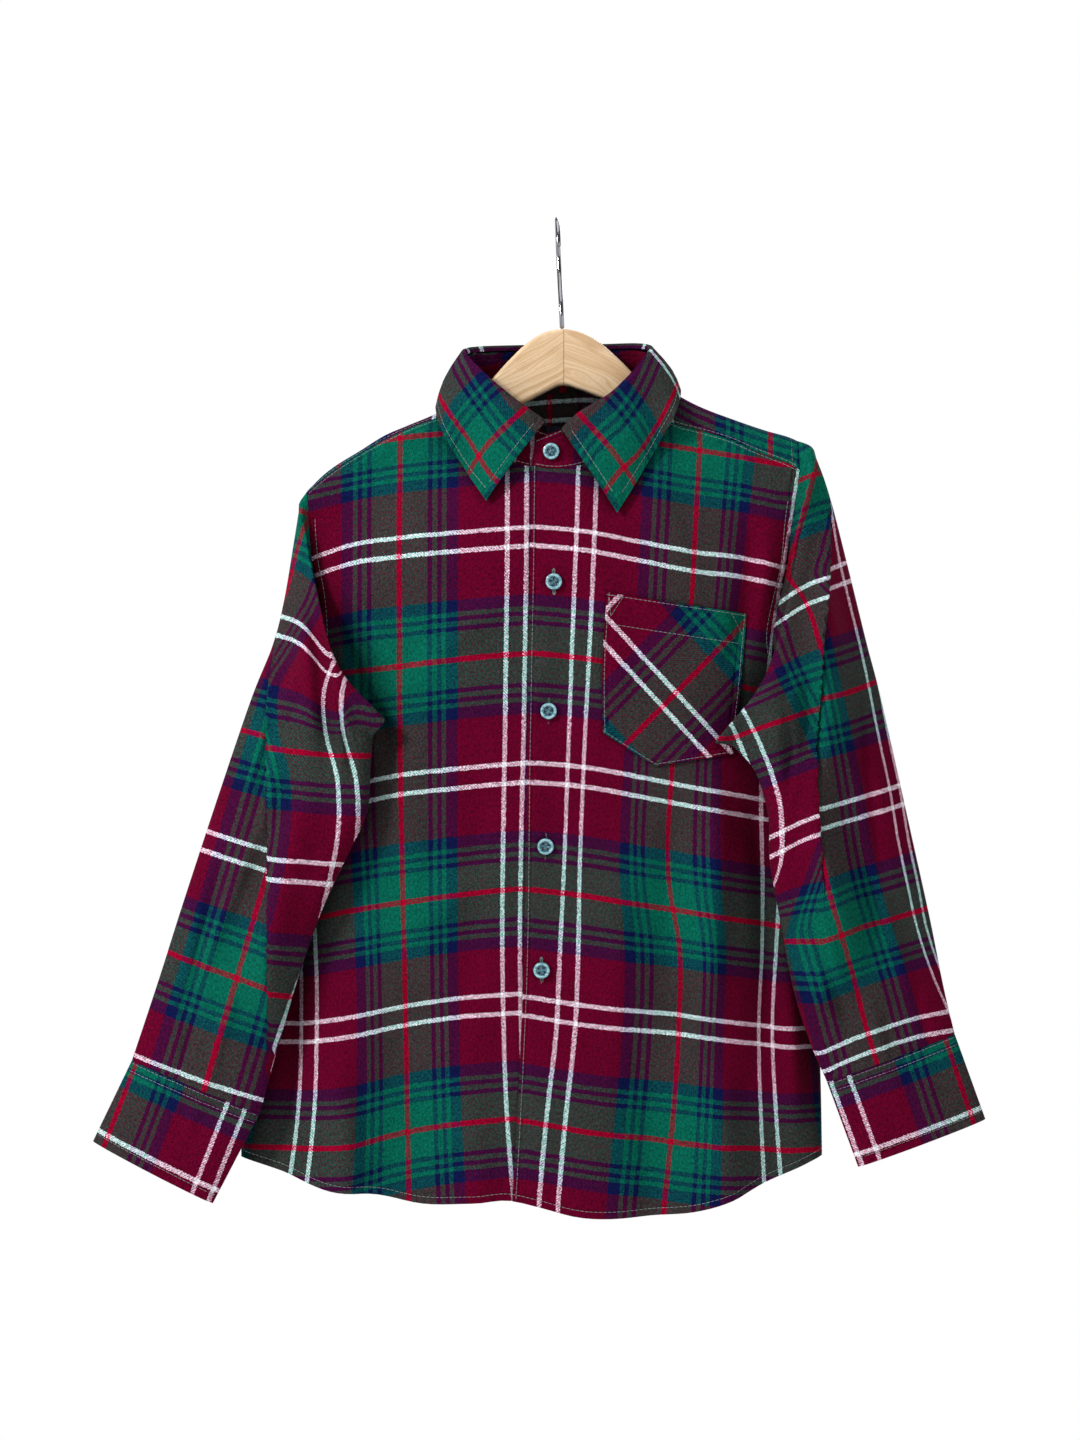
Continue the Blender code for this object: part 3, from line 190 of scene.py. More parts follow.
SLEEVE_FOLDS = {
    "left": numbers("""
        # share across at top and foot, start and end along the sleeve, half width, proud, side
        0.22 0.9 0.22 0.92 0.16 4 -1; 0.62 0.4 0.3 0.8 0.14 -3 -1; 0.8 0.7 0.1 0.42 0.12 3 -1
        0.3 0.16 0.34 0.6 0.05 1.8 -1; 0.12 0.34 0.44 0.7 0.05 -1.6 -1; 0.42 0.26 0.58 0.9 0.06 1.6 -1
        0.72 0.86 0.22 0.48 0.05 -2 -1; 0.52 0.74 0.06 0.24 0.06 1.6 -1; 0.16 0.3 0.66 0.97 0.05 -1.8 -1
        0.56 0.6 0.8 1.05 0.05 1.6 -1; 0.34 0.36 0.84 1.05 0.04 -1.3 -1; 0.2 0.4 0.3 0.62 0.06 2 1
        0.7 0.46 0.34 0.66 0.06 -2 1; 0.38 0.62 0.6 0.96 0.06 1.9 1; 0.2 0.26 0.74 1 0.05 -1.6 1"""),
    "right": numbers("""
        # share across at top and foot, start and end along the sleeve, half width, proud, side
        0.2 0.86 0.2 0.9 0.16 4 -1; 0.64 0.38 0.3 0.8 0.14 -3 -1; 0.8 0.72 0.1 0.42 0.12 3 -1
        0.7 0.84 0.24 0.5 0.05 -2 -1; 0.3 0.18 0.2 0.46 0.06 1.4 -1; 0.16 0.3 0.46 0.74 0.05 -1.7 -1
        0.34 0.24 0.6 0.92 0.05 1.7 -1; 0.66 0.52 0.56 0.84 0.05 1.9 -1; 0.8 0.7 0.66 0.96 0.05 -1.7 -1
        0.52 0.56 0.82 1.05 0.05 1.5 -1; 0.22 0.2 0.84 1.05 0.04 -1.3 -1; 0.24 0.44 0.28 0.6 0.06 2 1
        0.72 0.5 0.32 0.64 0.06 -2 1; 0.4 0.58 0.62 0.96 0.06 1.9 1; 0.18 0.24 0.74 1 0.05 -1.6 1"""),
}

CUFF_FOOT = {"left": ((-309.6, -616.6), (-229.6, -656.4)), "right": ((285.3, -601.8), (200.4, -632.2))}

COLLAR_FOLD = numbers("""
    # x      y      z
    -8 -27.5 -136; -25.2 -26 -123.8; -45.1 -21 -107.2; -57 -12 -95; -62.4 -1 -86.6; -54 11 -83.2
    -30 18.5 -81.6; 0 21 -81; 30 18.5 -80.8; 54 11 -81; 62.6 -1 -84.4; 56.5 -12 -94.6
    46.5 -21 -106.8; 33 -26 -119.3; 15 -28.5 -130.2; 3 -29.5 -141.5""")
COLLAR_EDGE = numbers("""
    # x      z      side
    -47.5 -189.5 -1; -52.6 -181.8 -1; -60.5 -170 -1; -75.6 -145.5 -1; -81.5 -124.6 0; -74 -131 1
    -42 -130.5 1; 0 -129.5 1; 42 -128 1; 73 -123 1; 82.5 -112.6 0; 79 -130.5 -1; 67.6 -151 -1
    57.5 -168.5 -1; 48.2 -184.2 -1; 39.6 -197.7 -1""")
STAND_TOP = numbers("""
    8.5 -21.4 -146; -12 -23 -142; -28 -22.6 -128.5; -44.5 -18 -112.6; -55.5 -10 -100.5
    -60.2 -1 -91.5; -52 9.4 -87.6; -29 16.4 -86; 0 18.8 -85.4; 29 16.4 -85.2; 52 9.4 -85.6
    60.2 -1 -89.4; 54.8 -10 -99.6; 44.6 -18 -112; 29 -23.4 -125.6; 8.3 -26.2 -138.6
    -14.6 -26.4 -148.4""")

POCKET_ROWS = (
    ((32.7, -250.6), (79.0, -257.6), (126.4, -264.4)),
    ((29.6, -300.0), (75.0, -311.0), (121.8, -314.0)),
    ((30.2, -343.8), (64.8, -366.1), (116.7, -357.8)),
)
BUTTONS = ((-4.1, -156.4), (-2.4, -243.4), (-6.0, -329.2), (-8.0, -419.0), (-10.6, -501.4))

HANGER = numbers("""
    # x      top     foot
    -158 -180 -193; -154 -173.6 -194; -131 -157.4 -183; -100 -141 -165.6; -78.8 -132.6 -152.4
    -62 -125.2 -144; -54 -117.8 -139.2; -45 -107.4 -134.6; -33 -94 -128; -20 -81.6 -121
    -9 -75 -115.2; 3.3 -72.5 -110; 15.5 -74.5 -113; 27 -80.5 -117.4; 39 -90.5 -122; 50 -101.4 -126.6
    58.5 -111.8 -129.8; 66 -115.2 -132.4; 80 -121.3 -137.4; 100 -130.7 -145.4; 131 -142.2 -158.8
    153 -149.6 -168.6; 157.5 -154.6 -166.5""")
HANGER_MIDDLE = 4.4       # x of the glued joint between the two halves
HOOK_FOOT = (3.3, -72.5)


# ---- creases, stitches and stripes

@dataclass(frozen=True)
class Crease:
    """A soft ridge, or a trough where proud is below 0, between two points seen from a side."""

    side: int
    start: Array
    end: Array
    bow: float
    width: float
    proud: float

    def height(self, x: Array, z: Array) -> Array:
        """How far the cloth stands proud.

        Args:
            x: across the view.
            z: heights.

        Returns:
            The height of each point over the plain cloth.
        """
        run = self.end - self.start
        length = float(np.linalg.norm(run))
        run = run / length
        along_run = ((x - self.start[0]) * run[0] + (z - self.start[1]) * run[1]) / length
        off = -(x - self.start[0]) * run[1] + (z - self.start[1]) * run[0]
        share = np.clip(along_run, 0.0, 1.0)
        off = off - self.bow * 4.0 * share * (1.0 - share)
        width = np.where(off > 0.0, self.width * 0.7, self.width * 1.35)
        taper = smooth(along_run / 0.35 + 0.35) * smooth((1.0 - along_run) / 0.45 + 0.35)
        return CREASE_DEPTH * self.proud * taper * np.exp(-(off / width) ** 2)


CREASE_DEPTH = 2.3
CREASES = tuple(
    Crease(int(row[0]), row[1:3], row[3:5], *row[5:]) for row in numbers("""
        # side, start x and z, end x and z, bow, width, proud
        # Front: from the armholes, from the collar, between the buttons and above the hem
        -1 -152 -236 -96 -330 8 9 2; -1 -150 -262 -108 -372 6 8 -2.2; -1 -146 -205 -128 -300 -6 8 -1.6
        -1 -120 -160 -82 -252 8 11 1.3; -1 -84 -300 -92 -470 -8 12 1.5; -1 -52 -350 -66 -560 6 11 -1.5
        -1 -34 -262 -98 -318 -7 9 1.1; -1 -34 -440 -100 -492 -9 10 1.1; -1 -148 -560 -138 -660 4 9 2.4
        -1 -168 -470 -178 -640 -4 9 -2; -1 -56 -600 -50 -665 2 9 1.5; -1 -9 -262 -11 -320 3 8 0.9
        -1 -10 -345 -14 -412 -3 8 1; -1 -12 -520 -16 -650 3 9 1.3; -1 128 -200 118 -300 5 7 -2.4
        -1 142 -190 134 -262 3 8 1.6; -1 70 -160 96 -245 -8 11 1.2; -1 104 -372 98 -545 5 10 2.6
        -1 78 -392 84 -560 -5 9 -1.9; -1 128 -380 140 -560 6 9 -2.2; -1 152 -440 158 -620 3 8 2
        -1 40 -420 34 -610 4 12 1.3; -1 112 -570 120 -662 -3 9 2.2; -1 60 -590 62 -668 2 10 -1.8
        -1 20 -200 40 -330 5 13 1
        # Back: hanging folds from the yoke, and drag lines towards the armholes and side seams
        1 -144 -226 -96 -330 8 10 2; 1 -134 -300 -150 -470 -6 10 -2.2; 1 -88 -240 -98 -430 6 11 1.8
        1 -36 -220 -30 -400 -5 12 -1.5; 1 14 -216 22 -390 5 11 1.7; 1 70 -230 62 -420 -6 10 -1.7
        1 136 -236 98 -340 -8 10 2; 1 132 -330 142 -520 5 9 -2.2; 1 -120 -470 -132 -648 5 11 2.2
        1 -70 -500 -66 -650 -4 11 -2; 1 -4 -480 -12 -655 6 12 1.9; 1 50 -470 58 -650 -5 10 -2
        1 108 -450 116 -640 4 11 2.2"""))


@dataclass(frozen=True)
class StripeLines:
    """Where the stripes of one direction run: for each station the places of known lines.

    Attributes:
        places: a row for each station, the station first and then the place of every line.
        counts: how many half repeats from the red line each of those lines lies.
    """

    places: Array
    counts: tuple[float, ...]

    def measure(self, station: Array, place: Array) -> Array:
        """The way in the cloth.

        Args:
            station: where the points lie on the lines' own way.
            place: where they lie across the lines.

        Returns:
            Millimetres of cloth from the red line.
        """
        lines = [along(self.places, 0, station, 1 + n) for n in range(len(self.counts))]
        sign = 1.0 if self.places[0, 2] > self.places[0, 1] else -1.0
        first_span = HALF_SETT * (self.counts[1] - self.counts[0])
        total = self.counts[0] * HALF_SETT + (place - lines[0]) * first_span / (lines[1] - lines[0])
        for n in range(1, len(self.counts) - 1):
            span = HALF_SETT * (self.counts[n + 1] - self.counts[n])
            beyond = (place - lines[n]) * sign > 0.0
            here = self.counts[n] * HALF_SETT + (place - lines[n]) * span / (lines[n + 1] - lines[n])
            total = np.where(beyond, here, total)
        return total


class Warp:
    """Lines that run down the cloth, by height: z, then the x of each line."""

    FRONT = {
        "left": StripeLines(numbers("""
            # z      outer white pair, red, white pair
            -110 -184 -105.6 -27; -228.8 -182.5 -105.2 -27.1; -321.9 -179.9 -104.7 -28.3
            -521.4 -165.3 -101.4 -30.4; -600 -167.6 -100 -27.6; -660 -175.6 -98.8 -22.4"""),
           (2.0, 1.0, 0.0)),
        "right": StripeLines(numbers("""
            # z      white pair, red, outer white pair
            -153.6 20.3 95.4 170.4; -207.5 18.8 91.8 161; -260.7 16.6 88.8 151; -367.1 12 76.1 141.3
            -444 9.2 74.3 142.6; -486 7.8 81.6 141.5; -541.7 5.4 81.2 139.2; -600 -1 77.4 141.2
            -661 -6.3 71.2 145.3"""), (0.0, 1.0, 2.0)),
    }


class Weft:
    """Lines that run across the cloth, by x: x, then the height of each line."""

    FRONT = {
        "left": StripeLines(numbers("""
            # x      red     pair 1  red     pair 2  red     pair 3  red
            -172 -157 -236.6 -310 -392 -470 -544 -621; -136 -152 -224 -303 -385 -462 -539 -618.5
            -105.4 -146.3 -220.1 -299.9 -378.4 -456.9 -532.7 -611.1
            -70.2 -143 -217.1 -295.5 -374.5 -452 -527 -604.5
            -33.6 -141 -214.1 -292 -371.1 -448 -524 -601
            0 -140 -212 -290.4 -369.5 -446.6 -522.4 -599.6"""), (-1.0, 0.0, 1.0, 2.0, 3.0, 4.0, 5.0)),
        "right": StripeLines(numbers("""
            -20 -139 -212.6 -290.6 -370 -447.6 -525.4 -602
            18 -143 -216.1 -294.4 -373 -452 -531.6 -609; 60 -149.5 -224 -302 -380.6 -459 -536 -614.5
            92.1 -154.3 -230.1 -308.6 -386.8 -463.6 -539 -618
            121 -158.8 -233 -313 -392 -468.6 -543.5 -620.5
            149.3 -164 -239.4 -318.4 -397 -473 -547.4 -623"""), (-1.0, 0.0, 1.0, 2.0, 3.0, 4.0, 5.0)),
    }


# ---- smooth tables

def spline(rows: Array, at: Array) -> Array:
    """Points of a smooth curve through the rows, at shares 0 to 1 of its length."""
    steps = np.linalg.norm(np.diff(rows[:, :3], axis=0), axis=1)
    knots = np.concatenate(([0.0], np.cumsum(steps)))
    return spline_at(rows, knots, np.asarray(at, dtype=float) * knots[-1])


def spline_at(rows: Array, knots: Array, places: Array) -> Array:
    """Values of a smooth curve through rows.

    Args:
        rows: the values it passes through.
        knots: where each row sits, rising.
        places: where to take the values.

    Returns:
        A row for each place.
    """
    count = len(rows)
    if count == 2:
        share = ((places - knots[0]) / (knots[1] - knots[0]))[:, None]
        return rows[0] * (1.0 - share) + rows[1] * share
    gaps = np.diff(knots)[:, None]
    slopes = np.diff(rows, axis=0) / gaps
    tangents = np.empty_like(rows)
    tangents[1:-1] = (slopes[:-1] * gaps[1:] + slopes[1:] * gaps[:-1]) / (gaps[1:] + gaps[:-1])
    tangents[0] = 1.5 * slopes[0] - 0.5 * tangents[1]
    tangents[-1] = 1.5 * slopes[-1] - 0.5 * tangents[-2]
    index = np.clip(np.searchsorted(knots, places, side="right") - 1, 0, count - 2)
    gap = gaps[index]
    t = ((places - knots[index]) / gap[:, 0])[:, None]
    t2, t3 = t * t, t * t * t
    return ((2 * t3 - 3 * t2 + 1) * rows[index] + (t3 - 2 * t2 + t) * gap * tangents[index]
            + (3 * t2 - 2 * t3) * rows[index + 1] + (t3 - t2) * gap * tangents[index + 1])


def along(table: Array, key: int, places: Array | float, column: int) -> Array:
    """A column of a table as a smooth function of its key column.

    Args:
        table: the rows, in any order.
        key: the number of the key column.
        places: where to take the value; beyond the ends it stays.
        column: the number of the column.

    Returns:
        A value for each place.
    """
    rows = table[np.argsort(table[:, key])]
    shape = np.shape(places)
    places = np.clip(np.atleast_1d(places), rows[0, key], rows[-1, key])
    return spline_at(rows[:, [column]], rows[:, key], places.ravel())[:, 0].reshape(shape)


def smooth(value: Array | float) -> Array | float:
    """Smooth step from 0 to 1."""
    value = np.clip(value, 0.0, 1.0)
    return value * value * (3.0 - 2.0 * value)


def arch(share: Array) -> Array:
    """Half a circle's height over shares 0 to 1, at most 1."""
    return np.sqrt(np.clip(4.0 * share * (1.0 - share), 0.0, 1.0))


def mix(a: Array | float, b: Array | float, share: Array | float) -> Array | float:
    """From a at share 0 to b at share 1."""
    return a + (b - a) * share


def shares(count: int) -> Array:
    """Even shares 0 to 1 in that many steps."""
    return np.linspace(0.0, 1.0, count + 1)


def unit(vectors: Array) -> Array:
    """Vectors of length 1."""
    return vectors / np.maximum(np.linalg.norm(vectors, axis=-1, keepdims=True), 1e-9)


def falls(grid: Array) -> Array:
    """Each point's way down its column of the grid."""
    return np.swapaxes(arc_lengths(np.swapaxes(grid, 0, 1)), 0, 1)


def stacked(*parts: Array) -> Array:
    """The parts side by side as the last axis."""
    return np.stack(parts, axis=-1)


def worn(piece: str, hand: str) -> str:
    """The wearer's name of a piece that hangs at a hand of the view."""
    return f"{piece}_{'right' if hand == 'left' else 'left'}"


def join(first: Array, second: Array) -> Array:
    """Two curves that meet, as one."""
    return np.concatenate([first[:-1], second])


def arc_shares(curve: Array) -> Array:
    """Each point's share of the curve's length."""
    total = arc_lengths(curve)
    return total / total[-1]


def arc_lengths(curve: Array) -> Array:
    """Each point's way along the curve."""
    steps = np.linalg.norm(np.diff(curve, axis=0), axis=-1)
    return np.concatenate((np.zeros((1,) + steps.shape[1:]), np.cumsum(steps, axis=0)))


# ---- the hanging body's surface

@dataclass(frozen=True)
class HangingBody:
    """The surface that the fronts, the back and the yoke follow."""

    ridge_round: float = 9.0     # how round the cloth turns over the hanger
    neck_round: float = 22.0     # and at the neck, over this half width
    neck_half: float = 55.0
    section_power: float = 2.6
    drape_drop: float = 100.0    # over what drop the body opens to its full section
    side_fullness: float = 0.35
    fold_fade: float = 14.0
    fold_growth: float = 2.2

    def ridge_height(self, x: Array | float) -> Array:
        """Height of the shoulder line."""
        return along(RIDGE, 0, x, 1)

    def ridge_radius(self, x: Array | float) -> Array:
        """How round the cloth turns over the hanger, wider at the neck."""
        near_neck = np.exp(-(np.abs(x) / self.neck_half) ** 4)
        return self.ridge_round + (self.neck_round - self.ridge_round) * near_neck

    def section_depth(self, x: Array, z: Array, side: int, proud: float = 0.0) -> Array:
        """Depth of the body on one side.

        Args:
            x: across the view.
            z: heights.
            side: -1 for the front, 1 for the back.
            proud: how far outside the body to measure.

        Returns:
            The depth of each point.
        """
        left = along(BODY, 0, z, 1) - proud
        right = along(BODY, 0, z, 2) + proud
        full = along(BODY, 0, z, 3 if side < 0 else 4) + proud
        across = np.clip(np.abs((x - (left + right) / 2.0) / ((right - left) / 2.0)), 0.0, 1.0)
        return full * (1.0 - across ** self.section_power) ** (1.0 / self.section_power)

    def fold_height(self, x: Array, z: Array, side: int) -> Array:
        """How far the large folds and the creases stand proud.

        Args:
            x: across the view.
            z: heights.
            side: -1 for the front, 1 for the back.

        Returns:
            The height of each point.
        """
        total = np.zeros(np.broadcast(x, z).shape)
        for row_side, x_top, x_foot, z_top, z_foot, width, proud in BODY_FOLDS:
            if row_side == side:
                share = (z_top - z) / (z_top - z_foot)
                centre = mix(x_top, x_foot, share)
                total += proud * smooth(share * self.fold_growth) * np.exp(-((x - centre) / width) ** 2)
        for crease in CREASES:
            if crease.side == side:
                total += crease.height(x, z)
        return total

    def y(self, x: Array | float, z: Array | float, side: int) -> Array:
        """The body's surface as seen from the front or the back.

        Args:
            x: across the view.
            z: heights.
            side: -1 for the front, 1 for the back.

        Returns:
            The y of each point.
        """
        x, z = np.asarray(x, dtype=float), np.asarray(z, dtype=float)
        radius = self.ridge_radius(x)
        drop = np.maximum(self.ridge_height(x) - z, 0.0)
        over = np.sqrt(np.maximum(radius ** 2 - (radius - np.minimum(drop, radius)) ** 2, 0.0))
        section = self.section_depth(x, z, side)
        open_share = smooth((drop - radius) / self.drape_drop)
        depth = np.where(drop < radius, over, mix(radius, section, open_share))
        depth = np.minimum(depth, np.maximum(section, over * self.side_fullness))
        edge = np.clip(section / self.fold_fade, 0.0, 1.0)
        return side * (depth + self.fold_height(x, z, side) * edge * open_share)

    def ridge_point(self, x: Array, way: Array) -> Array:
        """Points near the shoulder line.

        Args:
            x: across the view.
            way: how far along the cloth behind the line, below 0 before it.

        Returns:
            The points.
        """
        radius = self.ridge_radius(x)
        turn = radius * math.pi / 2.0
        angle = np.minimum(np.abs(way), turn) / radius
        drop = radius * (1.0 - np.cos(angle)) + np.maximum(np.abs(way) - turn, 0.0)
        z = self.ridge_height(x) - drop
        y = np.where(way < 0.0, self.y(x, z, -1), self.y(x, z, 1))
        return stacked(x, y, z)

    def way_from_ridge(self, x: Array, z: Array) -> Array:
        """The way along the cloth from the shoulder line down to height z."""
        radius = self.ridge_radius(x)
        drop = np.maximum(self.ridge_height(x) - z, 0.0)
        near = radius * np.arccos(np.clip(1.0 - drop / radius, -1.0, 1.0))
        return np.where(drop < radius, near, radius * math.pi / 2.0 + drop - radius)


# The one body that all the pieces follow
HUNG = HangingBody()


# ---- panels of cloth

@dataclass
class Panel:
    """One cut piece of the shirt as a grid of points on the middle of its cloth.

    Attributes:
        name: the node that it stands for.
        grid: columns by rows of points, millimetres.
        cloth: columns by rows of (across, along) places in the woven cloth, millimetres.
        turned: whether the grid's own normals point into the shirt.
        closed: whether the first and last column are the same line of the cloth.
        lining: how far along the cloth the inner layer was cut, from the outer one.
    """

    name: str
    grid: Array
    cloth: Array
    turned: bool = False
    closed: bool = False
    lining: float = 0.0
    normals: Array = field(default_factory=lambda: np.zeros(0))

    def raw_normals(self) -> Array:
        """Unscaled normals, larger where the faces are larger.

        Returns:
            A normal for each point.
        """
        across = np.diff(self.grid, axis=0)
        along_rows = np.diff(self.grid, axis=1)
        faces = np.cross(across[:, :-1] + across[:, 1:], along_rows[:-1] + along_rows[1:])
        total = np.zeros_like(self.grid)
        total[:-1, :-1] += faces
        total[1:, :-1] += faces
        total[:-1, 1:] += faces
        total[1:, 1:] += faces
        return total * (-1.0 if self.turned else 1.0)

    def border_ways(self) -> Array:
        """For each point the ways over the cloth to the first and last column and row."""
        across, down = arc_lengths(self.grid), falls(self.grid)
        return stacked(across, across[-1:] - across, down, down[:, -1:] - down)

    def set_in(self) -> Array:
        """The grid with its borders drawn in by half a seam gap.

        Returns:
            Columns by rows of points.
        """
        moved = self.grid.copy()

        def draw(border: Array, inner: Array, normals: Array) -> Array:
            """How to move a border, given the next line and the border's normals."""
            run = np.gradient(border, axis=0)
            across = unit(np.cross(normals, run))
            return SEAM_GAP * across * np.sign(np.sum(across * (inner - border)))

        moved[:, 0] += draw(self.grid[:, 0], self.grid[:, 1], self.normals[:, 0])
        moved[:, -1] += draw(self.grid[:, -1], self.grid[:, -2], self.normals[:, -1])
        if not self.closed:
            moved[0] += draw(self.grid[0], self.grid[1], self.normals[0])
            moved[-1] += draw(self.grid[-1], self.grid[-2], self.normals[-1])
        return moved

    def tail(self, columns: int) -> Panel:
        """The panel's last columns."""
        return Panel(self.name, self.grid[-columns:], self.cloth[-columns:],
                     normals=self.normals[-columns:])

    def line(self, border: str, inset: float, start: float = 0.0, end: float = 1.0
             ) -> tuple[Array, Array]:
        """Points and normals of a line that keeps its distance from one border.

        Args:
            border: "first" or "last" column, "top" or "foot" row.
            inset: the distance, in millimetres.
            start: share of the border at which the line starts.
            end: share of the border at which it ends.

        Returns:
            The line's points, and the cloth's normals there.
        """
        grid, normals = self.grid, self.normals
        if border in ("first", "last"):
            grid, normals = np.swapaxes(grid, 0, 1), np.swapaxes(normals, 0, 1)
        if border in ("last", "foot"):
            grid, normals = grid[:, ::-1], normals[:, ::-1]
        points, ups = [], []
        for path, up in zip(grid, normals):
            ways = arc_lengths(path)
            points.append([np.interp(inset, ways, path[:, n]) for n in range(3)])
            ups.append([np.interp(inset, ways, up[:, n]) for n in range(3)])
        first, last = int(round(start * (len(grid) - 1))), int(round(end * (len(grid) - 1))) + 1
        return np.array(points)[first:last], unit(np.array(ups)[first:last])


def coons(top: Array, foot: Array, start: Array, end: Array, across: Array, down: Array) -> Array:
    """A patch between four border curves.

    Args:
        top: its upper border, from start to end.
        foot: its lower border.
        start: the side where top begins, downwards.
        end: the side where it ends.
        across: the columns' shares of the way from start to end.
        down: the rows' shares of the way from top to foot.

    Returns:
        Columns by rows of points.
    """
    across, down = across[:, None, None], down[None, :, None]
    sides = start[None] * (1.0 - across) + end[None] * across
    ends = top[:, None] * (1.0 - down) + foot[:, None] * down
    corners = ((top[0] * (1.0 - across) + top[-1] * across) * (1.0 - down)
               + (foot[0] * (1.0 - across) + foot[-1] * across) * down)
    return sides + ends - corners


@dataclass(frozen=True)
class Body:
    """The fronts, the back and the yoke, which hang from the shoulder line."""

    # Shares of the yoke's rows, close together where it turns over the hanger
    YOKE_ROWS = np.interp(shares(48), shares(12), [0.0, 0.045, 0.09, 0.13, 0.17, 0.21, 0.25, 0.3, 0.38,
                                                   0.5, 0.66, 0.83, 1.0])
    front_lap: float = 27.0
    lap_reach: float = 34.0
    lap_ease: float = 26.0
    back_blend: float = 0.4
    yoke_white: float = 39.0     # how far behind the shoulder line the white pair runs
    yoke_red_x: float = -5.0     # where a red line crosses the shoulder line
    back_weft: float = 0.6       # half repeats from the white pair to the top of the back

    def side_seam(self, hand: str) -> Array:
        """The side seam, from the underarm to the hem, in x and z."""
        foot = HEM_FRONT[0, 1] if hand == "left" else HEM_FRONT[-1, 1]
        z = mix(ARMHOLE_FRONT[hand][-1, 1], foot, shares(SIDE_ROWS))
        return stacked(along(BODY, 0, z, 1 if hand == "left" else 2), z)

    def front(self, hand: str) -> Panel:
        """A front, from its edge to the side seam and from the neck and yoke to the hem.

        Args:
            hand: the side of the view that it hangs on, "left" or "right".

        Returns:
            The panel.
        """
        top = join(spline(NECK_FRONT[hand], shares(NECK_COLUMNS)),
                   spline(YOKE_SEAM[hand], shares(SHOULDER_COLUMNS)))
        side = join(spline(ARMHOLE_FRONT[hand], shares(ARM_ROWS)), self.side_seam(hand))
        edge_z = mix(top[0, 1], FRONT_FOOT[hand], shares(len(side) - 1))
        lap = self.front_lap if hand == "left" else 0.0
        edge = stacked(along(FRONT_EDGE, 0, edge_z, 1) + lap, edge_z)
        edge[0] = top[0]
        spread = np.sin(shares(NECK_COLUMNS + SHOULDER_COLUMNS) * math.pi / 2.0)
        hem_x = mix(edge[-1, 0], side[-1, 0], spread)
        hem = stacked(hem_x, along(HEM_FRONT, 0, hem_x, 1))
        edge[-1] = hem[0]
        flat = coons(top, hem, edge, side, spread, arc_shares(side))
        x, z = flat[..., 0], flat[..., 1]
        y = HUNG.y(x, z, -1)
        edge_x = along(FRONT_EDGE, 0, z, 1)
        layer = (SOLID_CLOTH + LAYER_GAP) / 2.0
        if hand == "left":
            y = y + layer * smooth((x - edge_x + self.lap_reach) / self.lap_ease)
        else:
            y = y - layer * smooth((edge_x + self.front_lap + self.lap_reach - x) / self.lap_ease)
        cloth = stacked(Warp.FRONT[hand].measure(z, x), Weft.FRONT[hand].measure(x, z)) + HALF_SETT
        return Panel(worn("front", hand), stacked(x, y, z), cloth, turned=hand == "right")

    def back(self) -> Panel:
        """The back, from the left side to the right and from the yoke to the hem.

        Returns:
            The panel.
        """
        even = shares(BACK_COLUMNS)
        spread = (1.0 - np.cos(even * math.pi)) / 2.0
        x_top = mix(YOKE_SEAM_BACK[0, 0], YOKE_SEAM_BACK[-1, 0], even)
        top = stacked(x_top, along(YOKE_SEAM_BACK, 0, x_top, 1))
        left = join(spline(ARMHOLE_BACK["left"], shares(BACK_ARM_ROWS)), self.side_seam("left"))
        right = join(spline(ARMHOLE_BACK["right"], shares(BACK_ARM_ROWS)), self.side_seam("right"))
        hem_x = mix(left[-1, 0], right[-1, 0], spread)
        hem = stacked(hem_x, along(HEM_BACK, 0, hem_x, 1))
        down = arc_shares(left)
        flat = coons(top, hem, left, right, spread, down)
        blend = smooth(down / self.back_blend)[None, :]
        x_even = mix(flat[:1, :, 0], flat[-1:, :, 0], even[:, None])
        x_round = mix(flat[:1, :, 0], flat[-1:, :, 0], spread[:, None])
        x = mix(x_even, x_round, blend)
        z = flat[..., 1]
        grid = stacked(x, HUNG.y(x, z, 1), z)
        fall = falls(grid)
        cloth = stacked(self.shoulder_way(x), fall + HALF_SETT * (1.0 + self.back_weft))
        return Panel("back", grid, cloth)

    def shoulder_way(self, x: Array) -> Array:
        """The way along the shoulder line from the yoke's red line to the point above x.

        Args:
            x: across the view.

        Returns:
            Millimetres, below 0 to the left of the red line.
        """
        places = np.linspace(RIDGE[0, 0], RIDGE[-1, 0], 400)
        line = stacked(places, HUNG.ridge_height(places))
        ways = arc_lengths(line)
        return np.interp(x, places, ways - np.interp(self.yoke_red_x, places, ways))

